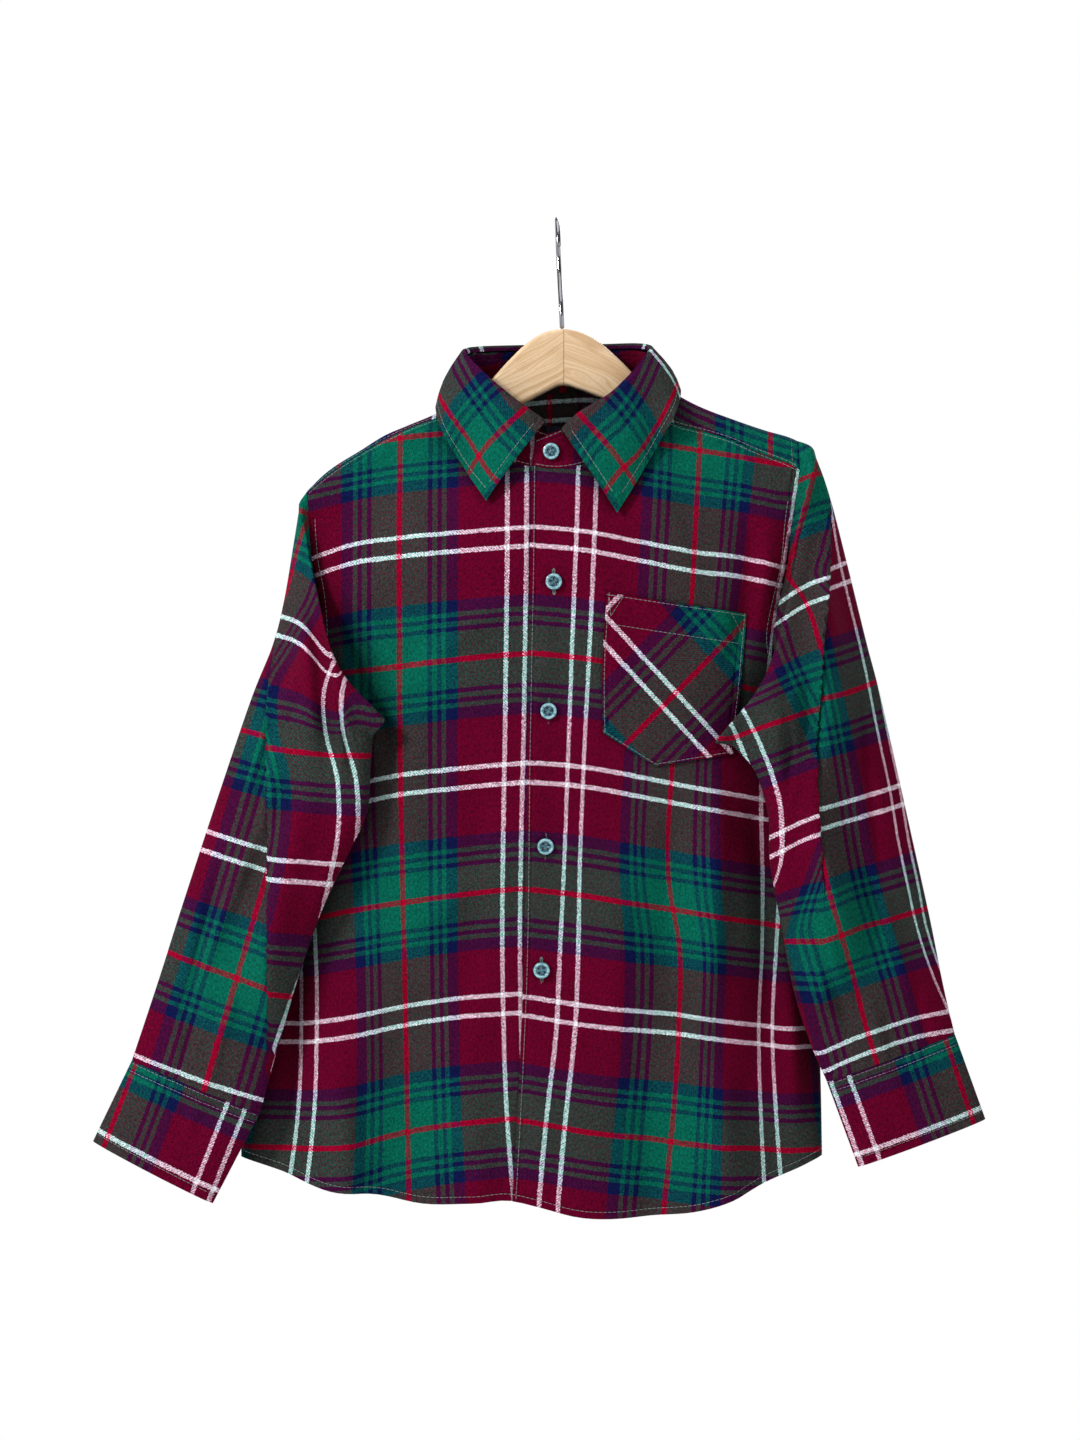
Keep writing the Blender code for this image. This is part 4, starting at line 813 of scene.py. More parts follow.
    def yoke(self) -> Panel:
        """The yoke, from the left armhole to the right and from its front seams to the back seam.

        Returns:
            The panel.
        """
        left = spline(YOKE_SEAM["left"], shares(SHOULDER_COLUMNS))[::-1]
        right = spline(YOKE_SEAM["right"], shares(SHOULDER_COLUMNS))
        neck = spline(NECK_BACK, (1.0 - np.cos(shares(YOKE_NECK_COLUMNS) * math.pi)) / 2.0)
        ways = {hand: -HUNG.way_from_ridge(seam[:, 0], seam[:, 1])
                for hand, seam in (("left", left), ("right", right))}
        neck[0] = (left[-1, 0], ways["left"][-1])
        neck[-1] = (right[0, 0], ways["right"][0])
        front = np.concatenate([stacked(left[:-1, 0], ways["left"][:-1]), neck[:-1],
                                stacked(right[:, 0], ways["right"])])
        back_x = mix(YOKE_SEAM_BACK[0, 0], YOKE_SEAM_BACK[-1, 0], shares(len(front) - 1))
        back_z = along(YOKE_SEAM_BACK, 0, back_x, 1)
        back = stacked(back_x, HUNG.way_from_ridge(back_x, back_z))
        down = self.YOKE_ROWS[None, :, None]
        flat = front[:, None] * (1.0 - down) + back[:, None] * down
        grid = HUNG.ridge_point(flat[..., 0], flat[..., 1])
        cloth = stacked(self.shoulder_way(flat[..., 0]), flat[..., 1] - self.yoke_white + HALF_SETT)
        return Panel("yoke", grid, cloth)


# ---- sleeves and cuffs

@dataclass(frozen=True)
class SleeveLap:
    """The long fold down the front of a sleeve, where its inner part lies over its outer part.

    Attributes:
        line: x and height of points of the fold's edge, from the top down.
        depth: how far the cloth turns back under the fold, in millimetres.
        over: stripe places of the part that lies on top, warp then weft.
        under: those of the part below.
        fade: the share of the sleeve's width in which the fold dies out at either edge.
        dies: shares of the sleeve's length between which it flattens towards the cuff.
    """

    line: Array
    depth: float
    over: tuple[StripeLines, StripeLines]
    under: tuple[StripeLines, StripeLines]
    fade: float
    dies: tuple[float, float] = (0.86, 1.0)

    def measure(self, x: Array, z: Array, over: bool) -> Array:
        """The place in the cloth of points seen from the front, on one of the two parts."""
        warp, weft = self.over if over else self.under
        return stacked(warp.measure(z, x), weft.measure(x, z) + HALF_SETT)


SLEEVE_LAPS = {
    "left": SleeveLap(
        line=numbers("""
            -188.3 -276; -190.9 -294.9; -194 -318.4; -194.9 -341.8; -194 -388.4; -192.2 -477.9
            -191.9 -542.3; -191.5 -640"""),
        depth=10.0,
        over=(
            StripeLines(numbers("""
                # z     red, white pair
                -130 -150 -82; -175.6 -159.3 -91.4; -218.8 -173.2 -104.7; -255.4 -183.9 -119.4
                -285.3 -201.2 -136.7; -316.5 -223.1 -148; -339.8 -223.1 -148; -373.7 -214.5 -139.3
                -408.3 -213.8 -138.7; -444.9 -219.1 -146; -478.1 -227.8 -154.6; -521.4 -244.4 -171.2
                -587.9 -264.3 -194.5"""), (0.0, 1.0)),
            StripeLines(numbers("""
                # x      red     pair 1  red     pair 2  red     pair 3
                -210 -182 -262 -350 -431 -513 -592; -192.5 -188.9 -270 -353.8 -433.6 -516 -595.8
                -171.2 -195.5 -278 -356.4 -434.9 -519.4 -599.8
                -148 -208.8 -300.6 -358.4 -436.9 -523.4 -603.8
                -143.5 -212 -300 -358.5 -437.1 -524.2 -604.6
                -139 -206 -284 -358.6 -437.4 -525 -605.2; -123.4 -203 -280 -359.1 -438.2 -528 -607.8"""),
               (-1.0, 0.0, 1.0, 2.0, 3.0, 4.0)),
        ),
        under=(
            StripeLines(numbers("""
                # z     red, outer white pair
                -255.4 -138.7 -221.1; -355.1 -167.9 -250.4; -441.6 -193.2 -275.6
                -511.4 -213.8 -296.3; -578.6 -233.7 -316.2; -607.8 -242.4 -324.9"""), (0.0, -1.0)),
            StripeLines(numbers("""
                # x      pair 1  red     pair 2  red     pair 3
                -304.2 -238.7 -315.2 -395.7 -474.8 -557.9; -264.3 -250 -326.5 -407 -488.8 -571.9
                -231.1 -260 -336.5 -417 -500.1 -583.2; -192.5 -271.3 -346.5 -428.3 -512.7 -595.8
                -171.2 -278 -351.8 -434.9 -520 -603.8"""), (0.0, 1.0, 2.0, 3.0, 4.0)),
        ),
        fade=0.07, dies=(0.66, 0.90)),
    "right": SleeveLap(
        line=numbers("""
            183.2 -186; 183.2 -214.1; 181.9 -236.7; 180.1 -256; 176.3 -281.3; 173.8 -321.9
            171.1 -353.6; 172.6 -393; 174.5 -430; 177.5 -470; 183.5 -510; 192 -545; 202 -600"""),
        depth=6.0,
        over=(
            StripeLines(numbers("""
                # z     inner white pair, red
                -149 100.1 178.6; -182.2 94.8 168.6; -202.2 92.1 163.3; -222.1 88.1 157.9
                -240.7 86.8 154.6; -255.4 90.8 163.9; -268.7 96.1 169.2; -288.6 101.4 174.6
                -321.9 112.7 191.2; -349.8 126.7 205.2; -371.7 135.3 213.8; -388.4 140 218.5
                -421.6 142 220.4; -454.9 144 222.4; -521.4 151 229.4; -587.9 164 242.4"""), (1.0, 0.0)),
            StripeLines(numbers("""
                # x      red     pair 1  red     pair 2  red     pair 3
                115.4 -208.8 -288.6 -346.5 -431.6 -511.4 -587.9
                140.6 -188.9 -270 -337.8 -419.6 -496.1 -577.9
                161.3 -175.6 -254.7 -331.2 -409 -487.4 -571.2
                181.9 -167.6 -246.7 -325.9 -401.7 -478.8 -561.3"""), (-1.0, 0.0, 1.0, 2.0, 3.0, 4.0)),
        ),
        under=(
            StripeLines(numbers("""
                # z     inner white pair, red, outer edge of the wide navy, outer white pair
                -150 64 135 158.1 181; -188.9 70 141.3 164 186.5; -230.8 76 148 170.3 192.5
                -255.4 79 151.3 175 198.5; -288.6 84 155.9 182.5 206.5; -348.5 91 163.9 196 218
                -381.7 95 168.6 203 225; -418.3 98 172.6 208.5 231; -441.6 102 177.2 213.5 236
                -474.8 111 186.5 223 243; -510.1 121 197 234 255.5; -534.7 128 203.5 241 268
                -567.9 138 213.6 252 286"""), (1.0, 0.0, -0.502, -1.0)),
            StripeLines(numbers("""
                # x      pair 1  red     pair 2  red     pair 3
                174.6 -244.1 -321.2 -400.3 -481.5 -563.3; 194.5 -236.1 -316.5 -395 -474.8 -553.9
                214.5 -228.8 -309.2 -389.7 -469.5 -546.6; 237.7 -220.8 -301.9 -383 -463.5 -540
                262.3 -212.8 -293.9 -376.4 -456.9 -536"""), (0.0, 1.0, 2.0, 3.0, 4.0)),
        ),
        fade=0.05, dies=(0.56, 0.70)),
}


@dataclass
class Sleeve:
    """One sleeve with its cuff, set into the armhole of the body.

    Attributes:
        hand: the side of the view that it hangs on.
        front: the armhole from the shoulder line down the front to the underarm.
        back: the armhole from the shoulder line down the back to the underarm.
    """

    hand: str
    front: Array
    back: Array
    puff: float = 7.0            # how far the cap stands out of the armhole
    puff_sink: float = 0.5
    puff_place: float = 0.35
    cap_round: float = 0.3       # share of the front over which it comes forward from its outer edge
    roundness: float = 1.2
    clear: float = 7.0           # from the body's cloth to the sleeve before it
    underarm_reach: float = 13.0
    underarm_ease: float = 12.0
    fold_fade: float = 0.12
    lap_proud: float = 3.0       # how far the upper part stands out at the long fold
    lap_reach: float = 26.0      # and over what width it comes back down
    cuff_y: tuple[float, float] = (-20.0, -30.0)   # at the cuff's outer and inner edge
    cuff_full: float = 9.0
    cuff_weft: float = 20.3      # from the red weft line to the cuff's seam
    cuff_shown: float = 60.0

    PUFF_LEAN = {-1: 62.0, 1: 30.0}
    BOW_PLACES = np.array([0.0, 0.4, 0.8, 1.0])
    CAP = {"left": (0.36, 1.0), "right": (-0.2, 0.45)}   # how far the cap's top is drawn in, and sinks

    @property
    def lap(self) -> SleeveLap:
        """The sleeve's long fold."""
        return SLEEVE_LAPS[self.hand]

    def station(self, edges: Array, form: Array, share: Array, side: int) -> Array:
        """Half of a section of the sleeve, from its outer to its inner edge.

        Args:
            edges: x and height of the outer and of the inner edge there.
            form: its row of SLEEVE_FORM.
            share: shares across.
            side: -1 for the front half, 1 for the back half.

        Returns:
            A point for each share.
        """
        near, far, full = (form[0], form[1], form[6]) if side < 0 else (form[2], form[3], form[7])
        outer, inner = edges[:2], edges[2:]
        chord = inner - outer
        out = np.array([chord[1], -chord[0]]) / np.linalg.norm(chord)
        if out[1] > 0.0:
            out = -out
        bow = spline_at(np.array([[0.0], [near], [far], [0.0]]), self.BOW_PLACES, share)
        flat = outer + share[:, None] * chord + bow * out
        y = mix(form[4], form[5], share) + side * full * arch(share) ** self.roundness
        return stacked(flat[:, 0], y, flat[:, 1])

    def half(self, side: int, rows: Array, share: Array) -> Array:
        """One half of the sleeve as rows of points at the given shares across.

        Args:
            side: -1 for the front half, 1 for the back half.
            rows: shares of the sleeve's length.
            share: shares across, one list for each row.

        Returns:
            Rows by columns of points.
        """
        loop = self.front if side < 0 else self.back
        own = arc_shares(loop)
        out = -1.0 if self.hand == "left" else 1.0
        lean = np.sin(own * math.pi) * math.radians(self.PUFF_LEAN[side])
        drawn, sunk = (most * (1.0 - own) ** 3 for most in self.CAP[self.hand])
        puff = loop + self.puff * stacked(
            out * np.cos(lean) * (1.0 - drawn), side * np.sin(lean), -self.puff_sink * own - sunk)
        stations = np.array([loop, puff] + [
            self.station(edges, form, own, side)
            for edges, form in zip(SLEEVE_EDGES[self.hand], SLEEVE_FORM)])
        knots = np.array([0.0, self.puff_place] + [1.0 + n for n in range(len(SLEEVE_FORM))])
        even = spline_at(stations.reshape(len(stations), -1), knots, rows * knots[-1])
        even = even.reshape(len(rows), -1, 3)
        grid = np.empty(share.shape + (3,))
        for row, place in enumerate(rows * knots[-1]):
            for n in range(3):
                grid[row, :, n] = np.interp(share[row], own, even[row, :, n])
            if place > 0.0:
                weight = smooth(place / self.puff_place) * smooth(share[row] / self.cap_round)
                self.clear_body(grid[row], weight, side, loop[-1, 2])
        self.fold(grid, rows, share, side)
        return grid

    def clear_body(self, points: Array, weight: Array, side: int, underarm: float) -> None:
        """Keep the sleeve in front of the body's cloth, where it passes before it.

        Args:
            points: a row of the sleeve, moved in place.
            weight: how much of the move each point takes.
            side: -1 for the front half, 1 for the back half.
            underarm: the height of the underarm.
        """
        x, y, z = points[:, 0], points[:, 1], points[:, 2]
        guard = -HUNG.section_depth(x, z, -1, self.clear)
        below = smooth((underarm + self.underarm_reach - z) / self.underarm_ease) if side > 0 else 1.0
        points[:, 1] = np.where((guard < 0.0) & (y > guard), mix(y, guard, weight * below), y)

    def fold(self, grid: Array, rows: Array, share: Array, side: int) -> None:
        """Add the sleeve's soft folds and creases to the depth of its points.

        Args:
            grid: rows by columns of points, moved in place.
            rows: each row's share of the sleeve's length.
            share: each point's share across.
            side: -1 for the front half, 1 for the back half.
        """
        length = rows[:, None]
        for at_top, at_foot, start, end, width, proud, on in SLEEVE_FOLDS[self.hand]:
            if on == side:
                centre = mix(at_top, at_foot, np.clip((length - start) / (end - start), 0.0, 1.0))
                fade = (smooth((length - start) / self.fold_fade)
                        * smooth((end - length) / self.fold_fade))
                bell = np.exp(-((share - centre) / width) ** 2)
                grid[..., 1] += side * CREASE_DEPTH * proud * fade * bell

    def crossings(self, grid: Array, own: Array) -> Array:
        """Where the long fold's edge crosses each row.

        Args:
            grid: rows by columns of points of the front half.
            own: each column's share across.

        Returns:
            A share across for each row, 0 or 1 beyond the fold's ends.
        """
        line = self.lap.line
        crossing = np.zeros(len(grid))
        for row, points in enumerate(grid):
            off = points[:, 0] - np.interp(-points[:, 2], -line[:, 1], line[:, 0])
            off = off * (1.0 if self.hand == "left" else -1.0)
            crossing[row] = np.interp(0.0, off, own) if off[0] < off[-1] else 0.0
        return crossing

    def panel(self) -> Panel:
        """The sleeve as one panel: down its front from the outer to the inner edge, and back round.

        Returns:
            The panel, whose last column meets its first.
        """
        rows = np.interp(shares(SLEEVE_ROWS), shares(16), [
            0.0, 0.02, 0.04, 0.056, 0.072, 0.09, 0.112, 0.155, 0.249, 0.343, 0.437, 0.531, 0.624, 0.718,
            0.812, 0.906, 1.0])
        own = arc_shares(self.front)
        plain = self.half(-1, rows, np.repeat(own[None], len(rows), axis=0))
        crossing = self.crossings(plain, own)
        width = np.linalg.norm(plain[:, -1] - plain[:, 0], axis=-1)
        turn = self.lap.depth / width
        weight = (smooth(crossing / self.lap.fade) * smooth((1.0 - crossing) / self.lap.fade)
                  * smooth(rows / 0.05))
        lasting = 1.0 - smooth((rows - self.lap.dies[0]) / (self.lap.dies[1] - self.lap.dies[0]))
        turn = turn * weight * lasting
        # In cloth shares: out to the first bend, back to the fold's edge, and on across the top part
        total = 1.0 + 2.0 * turn
        first, second = (crossing + turn) / total, (crossing + 2.0 * turn) / total
        share = np.empty((len(rows), len(own)))
        proud, over = np.zeros_like(share), np.zeros_like(share)
        for row in range(len(rows)):
            marks = np.array([0.0, first[row], max(second[row], first[row] + 1e-6), 1.0 + 1e-6])
            share[row] = np.interp(own, marks, [0.0, crossing[row] + turn[row], crossing[row], 1.0])
            over[row] = np.interp(own, marks[1:3], [0.0, 1.0])
            away = np.maximum(share[row] - crossing[row], 0.0) * width[row]
            height = mix(0.0, self.lap_proud, lasting[row])
            proud[row] = over[row] * height * weight[row] * (1.0 - smooth(away / self.lap_reach))
        ahead = self.half(-1, rows, share)
        ahead[..., 1] -= proud
        x, z = ahead[..., 0], ahead[..., 2]
        parts = lasting if self.hand == "right" else np.ones(len(rows))
        below, above = self.lap.measure(x, z, False), self.lap.measure(x, z, True)
        cloth = mix(below, above, (over * parts[:, None])[..., None])
        round_back = arc_shares(self.back)[::-1]
        behind = self.half(1, rows, np.repeat(round_back[None], len(rows), axis=0))
        grid = np.concatenate([ahead, behind], axis=1)
        cloth = np.concatenate([cloth, self.back_cloth(behind, cloth[:, 0])], axis=1)
        return Panel(worn("sleeve", self.hand), np.swapaxes(grid, 0, 1), np.swapaxes(cloth, 0, 1),
                     turned=self.hand == "left", closed=True)

    def back_cloth(self, behind: Array, edge: Array) -> Array:
        """Where the back half lies in the woven cloth, whose lines run on straight from the outer edge.

        Args:
            behind: points of the back half, each row from the inner to the outer edge.
            edge: places in the cloth down the outer edge.

        Returns:
            Places in the cloth, rows by columns by two.
        """
        flat = behind[..., ::2]
        outer = flat[:, -1]
        down = unit(outer[-1] - outer[len(outer) // 2])
        inward = np.array([-down[1], down[0]]) * (1.0 if self.hand == "left" else -1.0)
        fallen, level = flat @ down, np.maximum.accumulate(outer @ down)
        beside = flat @ inward - np.interp(fallen, level, outer @ inward)
        beyond = fallen - np.clip(fallen, level[0], level[-1])
        return stacked(np.interp(fallen, level, edge[:, 0]) - beside,
                       np.interp(fallen, level, edge[:, 1]) + beyond)

    def edge_rows(self) -> tuple[Array, Array]:
        """The plain end of the sleeve, front half and back half, which the cuff is sewn to.

        Returns:
            The points of the front half and of the back half, from the outer to the inner edge.
        """
        end = np.array([1.0])
        halves = []
        for side, loop in ((-1, self.front), (1, self.back)):
            halves.append(self.half(side, end, arc_shares(loop)[None])[0])
        return halves[0], halves[1]

    def cuff(self) -> Panel:
        """The cuff: a band from the middle of the back half round to a lap behind.

        Returns:
            The panel.
        """
        front, back = self.edge_rows()
        outer, inner = (np.array(corner) for corner in CUFF_FOOT[self.hand])
        top = np.concatenate([front, back[-2:0:-1]])
        share = np.concatenate([arc_shares(front), arc_shares(back)[-2:0:-1]])
        side = np.concatenate([-np.ones(len(front)), np.ones(len(back) - 2)])
        top_share, foot_share, lap_width = CUFF_LAP[self.hand]
        leaning = np.interp(share, [0.0, top_share, 1.0], [0.0, foot_share, 1.0])
        leaning = np.where(side > 0, leaning, share)
        flat = outer + leaning[:, None] * (inner - outer)
        depth = mix(*self.cuff_y, leaning) + self.cuff_full * side * arch(leaning)
        foot = stacked(flat[:, 0], depth, flat[:, 1])
        start = int(np.argmin(np.where(side > 0, np.abs(share - top_share), 9.0)))
        ways = arc_lengths(np.concatenate([top[start:], top[:start]]))
        lap = int(np.searchsorted(ways, lap_width)) + 1
        order = (start + np.arange(len(top) + lap)) % len(top)
        down = shares(CUFF_ROWS)[None, :, None]
        band = top[order][:, None] * (1.0 - down) + foot[order][:, None] * down
        step = SOLID_CLOTH + LAYER_GAP
        rise = smooth((np.arange(len(order)) - (len(top) - 4)) / 4.0)
        band[..., 1] += step * rise[:, None]
        lengths = arc_lengths(band[:, 0])
        red = lengths[(len(top) - start) % len(top)]
        span = lengths[(len(top) - start + len(front) - 1) % len(top)] - red
        to_red, to_pair = (mix(*ends, shares(CUFF_ROWS)) for ends in CUFF_MARGINS[self.hand])
        across = (lengths[:, None] - red - to_red) * HALF_SETT / (span - to_red - to_pair)
        fall = falls(band)
        fall = fall * (self.cuff_shown / fall[:, -1:])
        cloth = stacked(across, fall + self.cuff_weft)
        return Panel(worn("cuff", self.hand), band, cloth, turned=self.hand == "left")


# Where round the back each cuff's ends meet, as shares at its top and foot, and how far they lap
CUFF_LAP = {"left": (0.231, 0.53, 9.5), "right": (0.404, 0.538, 14.5)}
# From a cuff's outer edge to its red line, and from its inner edge to its white pair, at its top and foot
CUFF_MARGINS = {"left": ((4.8, 9.0), (16.5, 9.5)), "right": ((9.0, 9.0), (9.0, 9.0))}


# ---- collar, pocket and label


@dataclass(frozen=True)
class Collar:
    """The stand round the neck and the leaf that folds down over it."""

    stand_corners: tuple[float, float] = (4.4, 11.6)   # where the yoke's front ends meet it
    stand_weft: float = 66.0
    stand_end: float = 225.6     # place in the cloth of the stand's over end
    stand_lining: float = -57.0  # how far from its outer layer's cut the inner layer was cut
    neck_centre: tuple[float, float] = (0.0, -2.0)
    clear: float = 4.2           # how far the leaf's edge lies off the body
    turn: tuple[float, float, float] = (78.0, 7.0, 8.0)   # where it turns, over what width, how far off
    tuck: tuple[float, float] = (1.4, 3.4)      # how far the leaf's inner edge lies in and down
    brow: tuple[float, float] = (2.2, 1.6)      # how far the fold's outer side lies out and down
    fold_in: float = 0.35        # how far the turned fold swells to either side
    fold_out: float = 0.3
    leaf_roll: float = 3.0
    roll_marks: tuple[float, ...] = (0.25, 0.5, 0.75, 1.0)
    # From the ends to the crossing red lines, at fold and edge
    red_at: tuple[float, float] = (15.0, 23.0)
    # From the fold to the red line along the leaf: near the end, further on
    red_drop: tuple[float, float] = (48.0, 30.0)
    red_drop_reach: float = 75.0

    def stand(self, left: Panel, right: Panel, yoke: Panel) -> Panel:
        """The stand, from its under end round the back to its over end, from seam to top.

        Args:
            left: the front at the left of the view.
            right: the front at the right.
            yoke: the yoke.

        Returns:
            The panel, whose seam runs along the three others' necks.
        """
        neck_end = len(yoke.grid) - 1 - SHOULDER_COLUMNS
        seam = np.concatenate([left.grid[:NECK_COLUMNS, 0], yoke.grid[SHOULDER_COLUMNS:neck_end, 0],
                               right.grid[NECK_COLUMNS::-1, 0]])
        corner, far_corner = self.stand_corners
        places = np.concatenate([
            mix(0.0, corner, shares(NECK_COLUMNS))[:-1],
            mix(corner, far_corner, shares(neck_end - SHOULDER_COLUMNS)),
            mix(far_corner, len(STAND_TOP) - 1.0, shares(NECK_COLUMNS))[1:]])
        top = spline_at(STAND_TOP, np.arange(len(STAND_TOP), dtype=float), places)
        down = shares(STAND_STEPS)[None, :, None]
        grid = seam[:, None] * (1.0 - down) + top[:, None] * down
        ways = arc_lengths(grid[:, -1])
        across = self.stand_end - ways[-1] + ways
        fall = self.stand_weft - falls(grid)
        cloth = stacked(np.repeat(across[:, None], STAND_STEPS + 1, axis=1), fall)
        return Panel("collar_stand", grid, cloth, turned=True, lining=self.stand_lining)

    def leaf(self) -> Panel:
        """The leaf, from its left end round the back to its right end, from the fold to its edge.

        Returns:
            The panel.
        """
        edge_rows = []
        turn_x, width, off = self.turn
        for x, z, side in COLLAR_EDGE:
            clear = self.clear + off * math.exp(-((abs(x) - turn_x) / width) ** 2)
            y = float(HUNG.y(x, z, int(side))) + side * clear if side else 0.0
            edge_rows.append((x, y, z))
        knots = np.arange(len(edge_rows), dtype=float)
        places = shares(LEAF_COLUMNS) * knots[-1]
        fold = spline_at(COLLAR_FOLD, knots, places)
        edge = spline_at(np.array(edge_rows), knots, places)
        to_neck = np.zeros_like(fold)
        to_neck[:, :2] = unit(np.array(self.neck_centre) - fold[:, :2])
        down = np.array([0.0, 0.0, -1.0])
        inner = fold + to_neck * self.tuck[0] + down * self.tuck[1]
        shoulder = fold - to_neck * self.brow[0] + down * self.brow[1]
        swell = np.array([0.0, 0.0, self.fold_out])
        lines = [inner, mix(inner, fold, 0.5) + to_neck * self.fold_in, fold,
                 mix(fold, shoulder, 0.5) - to_neck * self.fold_out + swell, shoulder]
        marks = np.concatenate([[0.0], self.roll_marks])
        rolls = np.sin(marks * math.pi)
        for share in shares(LEAF_STEPS)[1:]:
            roll = np.interp(share, marks, rolls)
            lines.append(mix(shoulder, edge, share) - to_neck * self.leaf_roll * roll)
        grid = np.stack(lines, axis=1)
        ways = arc_lengths(fold)
        edge_ways = arc_lengths(edge)
        drop = falls(grid)
        drop = drop - drop[:, 2:3]
        share = np.clip(drop / drop[:, -1:], 0.0, 1.0)
        along_left = mix(ways[:, None] - self.red_at[0], edge_ways[:, None] - self.red_at[1], share)
        along_right = mix(ways[-1] - ways[:, None] - self.red_at[0],
                          edge_ways[-1] - edge_ways[:, None] - self.red_at[1], share)
        here = (ways > ways[-1] / 2.0)[:, None]
        across = np.where(here, along_right, along_left)
        red = mix(*self.red_drop, np.clip(across / self.red_drop_reach, -0.3, 1.0))
        return Panel("collar", grid, stacked(across, drop - red))


def patch(rows: Sequence[Sequence[tuple[float, float]]], columns: int, steps: int) -> Array:
    """Points between rows of corners.

    Args:
        rows: three rows of three corners, in x and z.
        columns: how many columns to divide it into.
        steps: how many rows.

    Returns:
        Columns by rows of points.
    """
    lines = []
    at = shares(columns)[:, None]
    for corners in np.array(rows):
        first = mix(corners[0], corners[1], np.clip(at * 2.0, 0.0, 1.0))
        second = mix(corners[1], corners[2], np.clip(at * 2.0 - 1.0, 0.0, 1.0))
        lines.append(np.where(at <= 0.5, first, second))
    flat = spline_at(np.array(lines).reshape(3, -1), np.array([0.0, 0.5, 1.0]), shares(steps))
    return np.swapaxes(flat.reshape(steps + 1, columns + 1, 2), 0, 1)


@dataclass(frozen=True)
class Patches:
    """The pocket on the wearer's left front and the label inside the yoke."""

    pocket_lift: float = 1.65
    label_lift: float = 1.75
    label_at: tuple[float, float] = (0.0, -139.5)
    label_size: tuple[float, float] = (15.0, 7.4)

    # Where the pocket's cloth, cut on the bias, has a white pair and a red line, and which way they run
    WHITE_AT, WHITE_OFF = np.array([26.07, -269.86]), np.array([-0.733, -0.68])
    RED_AT, RED_OFF = np.array([45.55, -351.12]), np.array([0.716, -0.698])

    def pocket(self) -> Panel:
        """The pocket, as one layer on the front.

        Returns:
            The panel.
        """
        flat = patch(POCKET_ROWS, 36, 40)
        y = HUNG.y(flat[..., 0], flat[..., 1], -1) - self.pocket_lift
        across = (flat - self.RED_AT) @ self.RED_OFF
        cloth = stacked(across, (flat - self.WHITE_AT) @ self.WHITE_OFF + HALF_SETT)
        return Panel("pocket", stacked(flat[..., 0], y, flat[..., 1]), cloth, turned=True)

    def label(self) -> Panel:
        """The bare label.

        Returns:
            The panel.
        """
        half_x, half_z = self.label_size[0] / 2.0, self.label_size[1] / 2.0
        x = self.label_at[0] + np.linspace(-half_x, half_x, 16)[:, None] * np.ones((1, 9))
        z = self.label_at[1] + np.linspace(half_z, -half_z, 9)[None, :] * np.ones((16, 1))
        y = HUNG.y(x, z, 1) - self.label_lift
        return Panel("neck_label", stacked(x, y, z), stacked(x, z))


# ---- from grids to meshes

def mesh_object(name: str, mesh: bmesh.types.BMesh, sharp: float = 50.0) -> bpy.types.Object:
    """A new object with the mesh, shaded smooth except at sharp edges.

    Args:
        name: the object's name.
        mesh: its mesh, which is freed.
        sharp: the angle from which an edge counts as sharp, in degrees.

    Returns:
        The object.
    """
    data = bpy.data.meshes.new(name)
    mesh.to_mesh(data)
    mesh.free()
    data.shade_smooth()
    data.set_sharp_from_angle(angle=math.radians(sharp))
    made = bpy.data.objects.new(name, data)
    bpy.context.scene.collection.objects.link(made)
    return made


NO_BORDER = 99.0          # the way to a border where there is none


def cloth_object(panel: Panel) -> bpy.types.Object:
    """The panel as a thin shell.

    Args:
        panel: the panel, with its normals.

    Returns:
        The object, with its places in the cloth and its ways to the borders as UV maps.
    """
    grid = panel.set_in()
    columns, rows = grid.shape[:2]
    inner = (grid - panel.normals * CLOTH / 2.0) * MM
    lift = panel.normals * CLOTH * MM
    ways = panel.border_ways()
    side = np.minimum(ways[..., 0], ways[..., 1])
    if panel.closed:
        side = np.full_like(side, NO_BORDER)
    ends = np.minimum(ways[..., 2], ways[..., 3])
    mesh = bmesh.new()
    across = mesh.verts.layers.float_vector.new("across")
    place = mesh.loops.layers.uv.new("cloth")
    border = mesh.loops.layers.uv.new("border")
    bmesh.ops.create_grid(mesh, x_segments=columns - 1, y_segments=rows - 1, size=0.5)
    index = {}
    for vert in mesh.verts:
        column = int(round((vert.co.x + 0.5) * (columns - 1)))
        row = int(round((vert.co.y + 0.5) * (rows - 1)))
        index[vert] = (column, row)
    for face in mesh.faces:
        for loop in face.loops:
            at = index[loop.vert]
            loop[place].uv = panel.cloth[at] * MM
            loop[border].uv = (side[at] * MM, ends[at] * MM)
    for vert, at in index.items():
        vert.co = Vector(inner[at])
        vert[across] = Vector(lift[at])
    if panel.closed:
        bmesh.ops.remove_doubles(mesh, verts=mesh.verts, dist=2e-6)
    inside = mesh.faces[:]
    lifted = bmesh.ops.extrude_face_region(mesh, geom=inside, use_keep_orig=True)
    for item in lifted["geom"]:
        if isinstance(item, bmesh.types.BMVert):
            item.co = item.co + item[across]
    for loop in (loop for face in inside for loop in face.loops):
        loop[place].uv.x += panel.lining * MM
    bmesh.ops.recalc_face_normals(mesh, faces=mesh.faces)
    mesh.verts.layers.float_vector.remove(across)
    return mesh_object(f"{panel.name}_cloth", mesh)


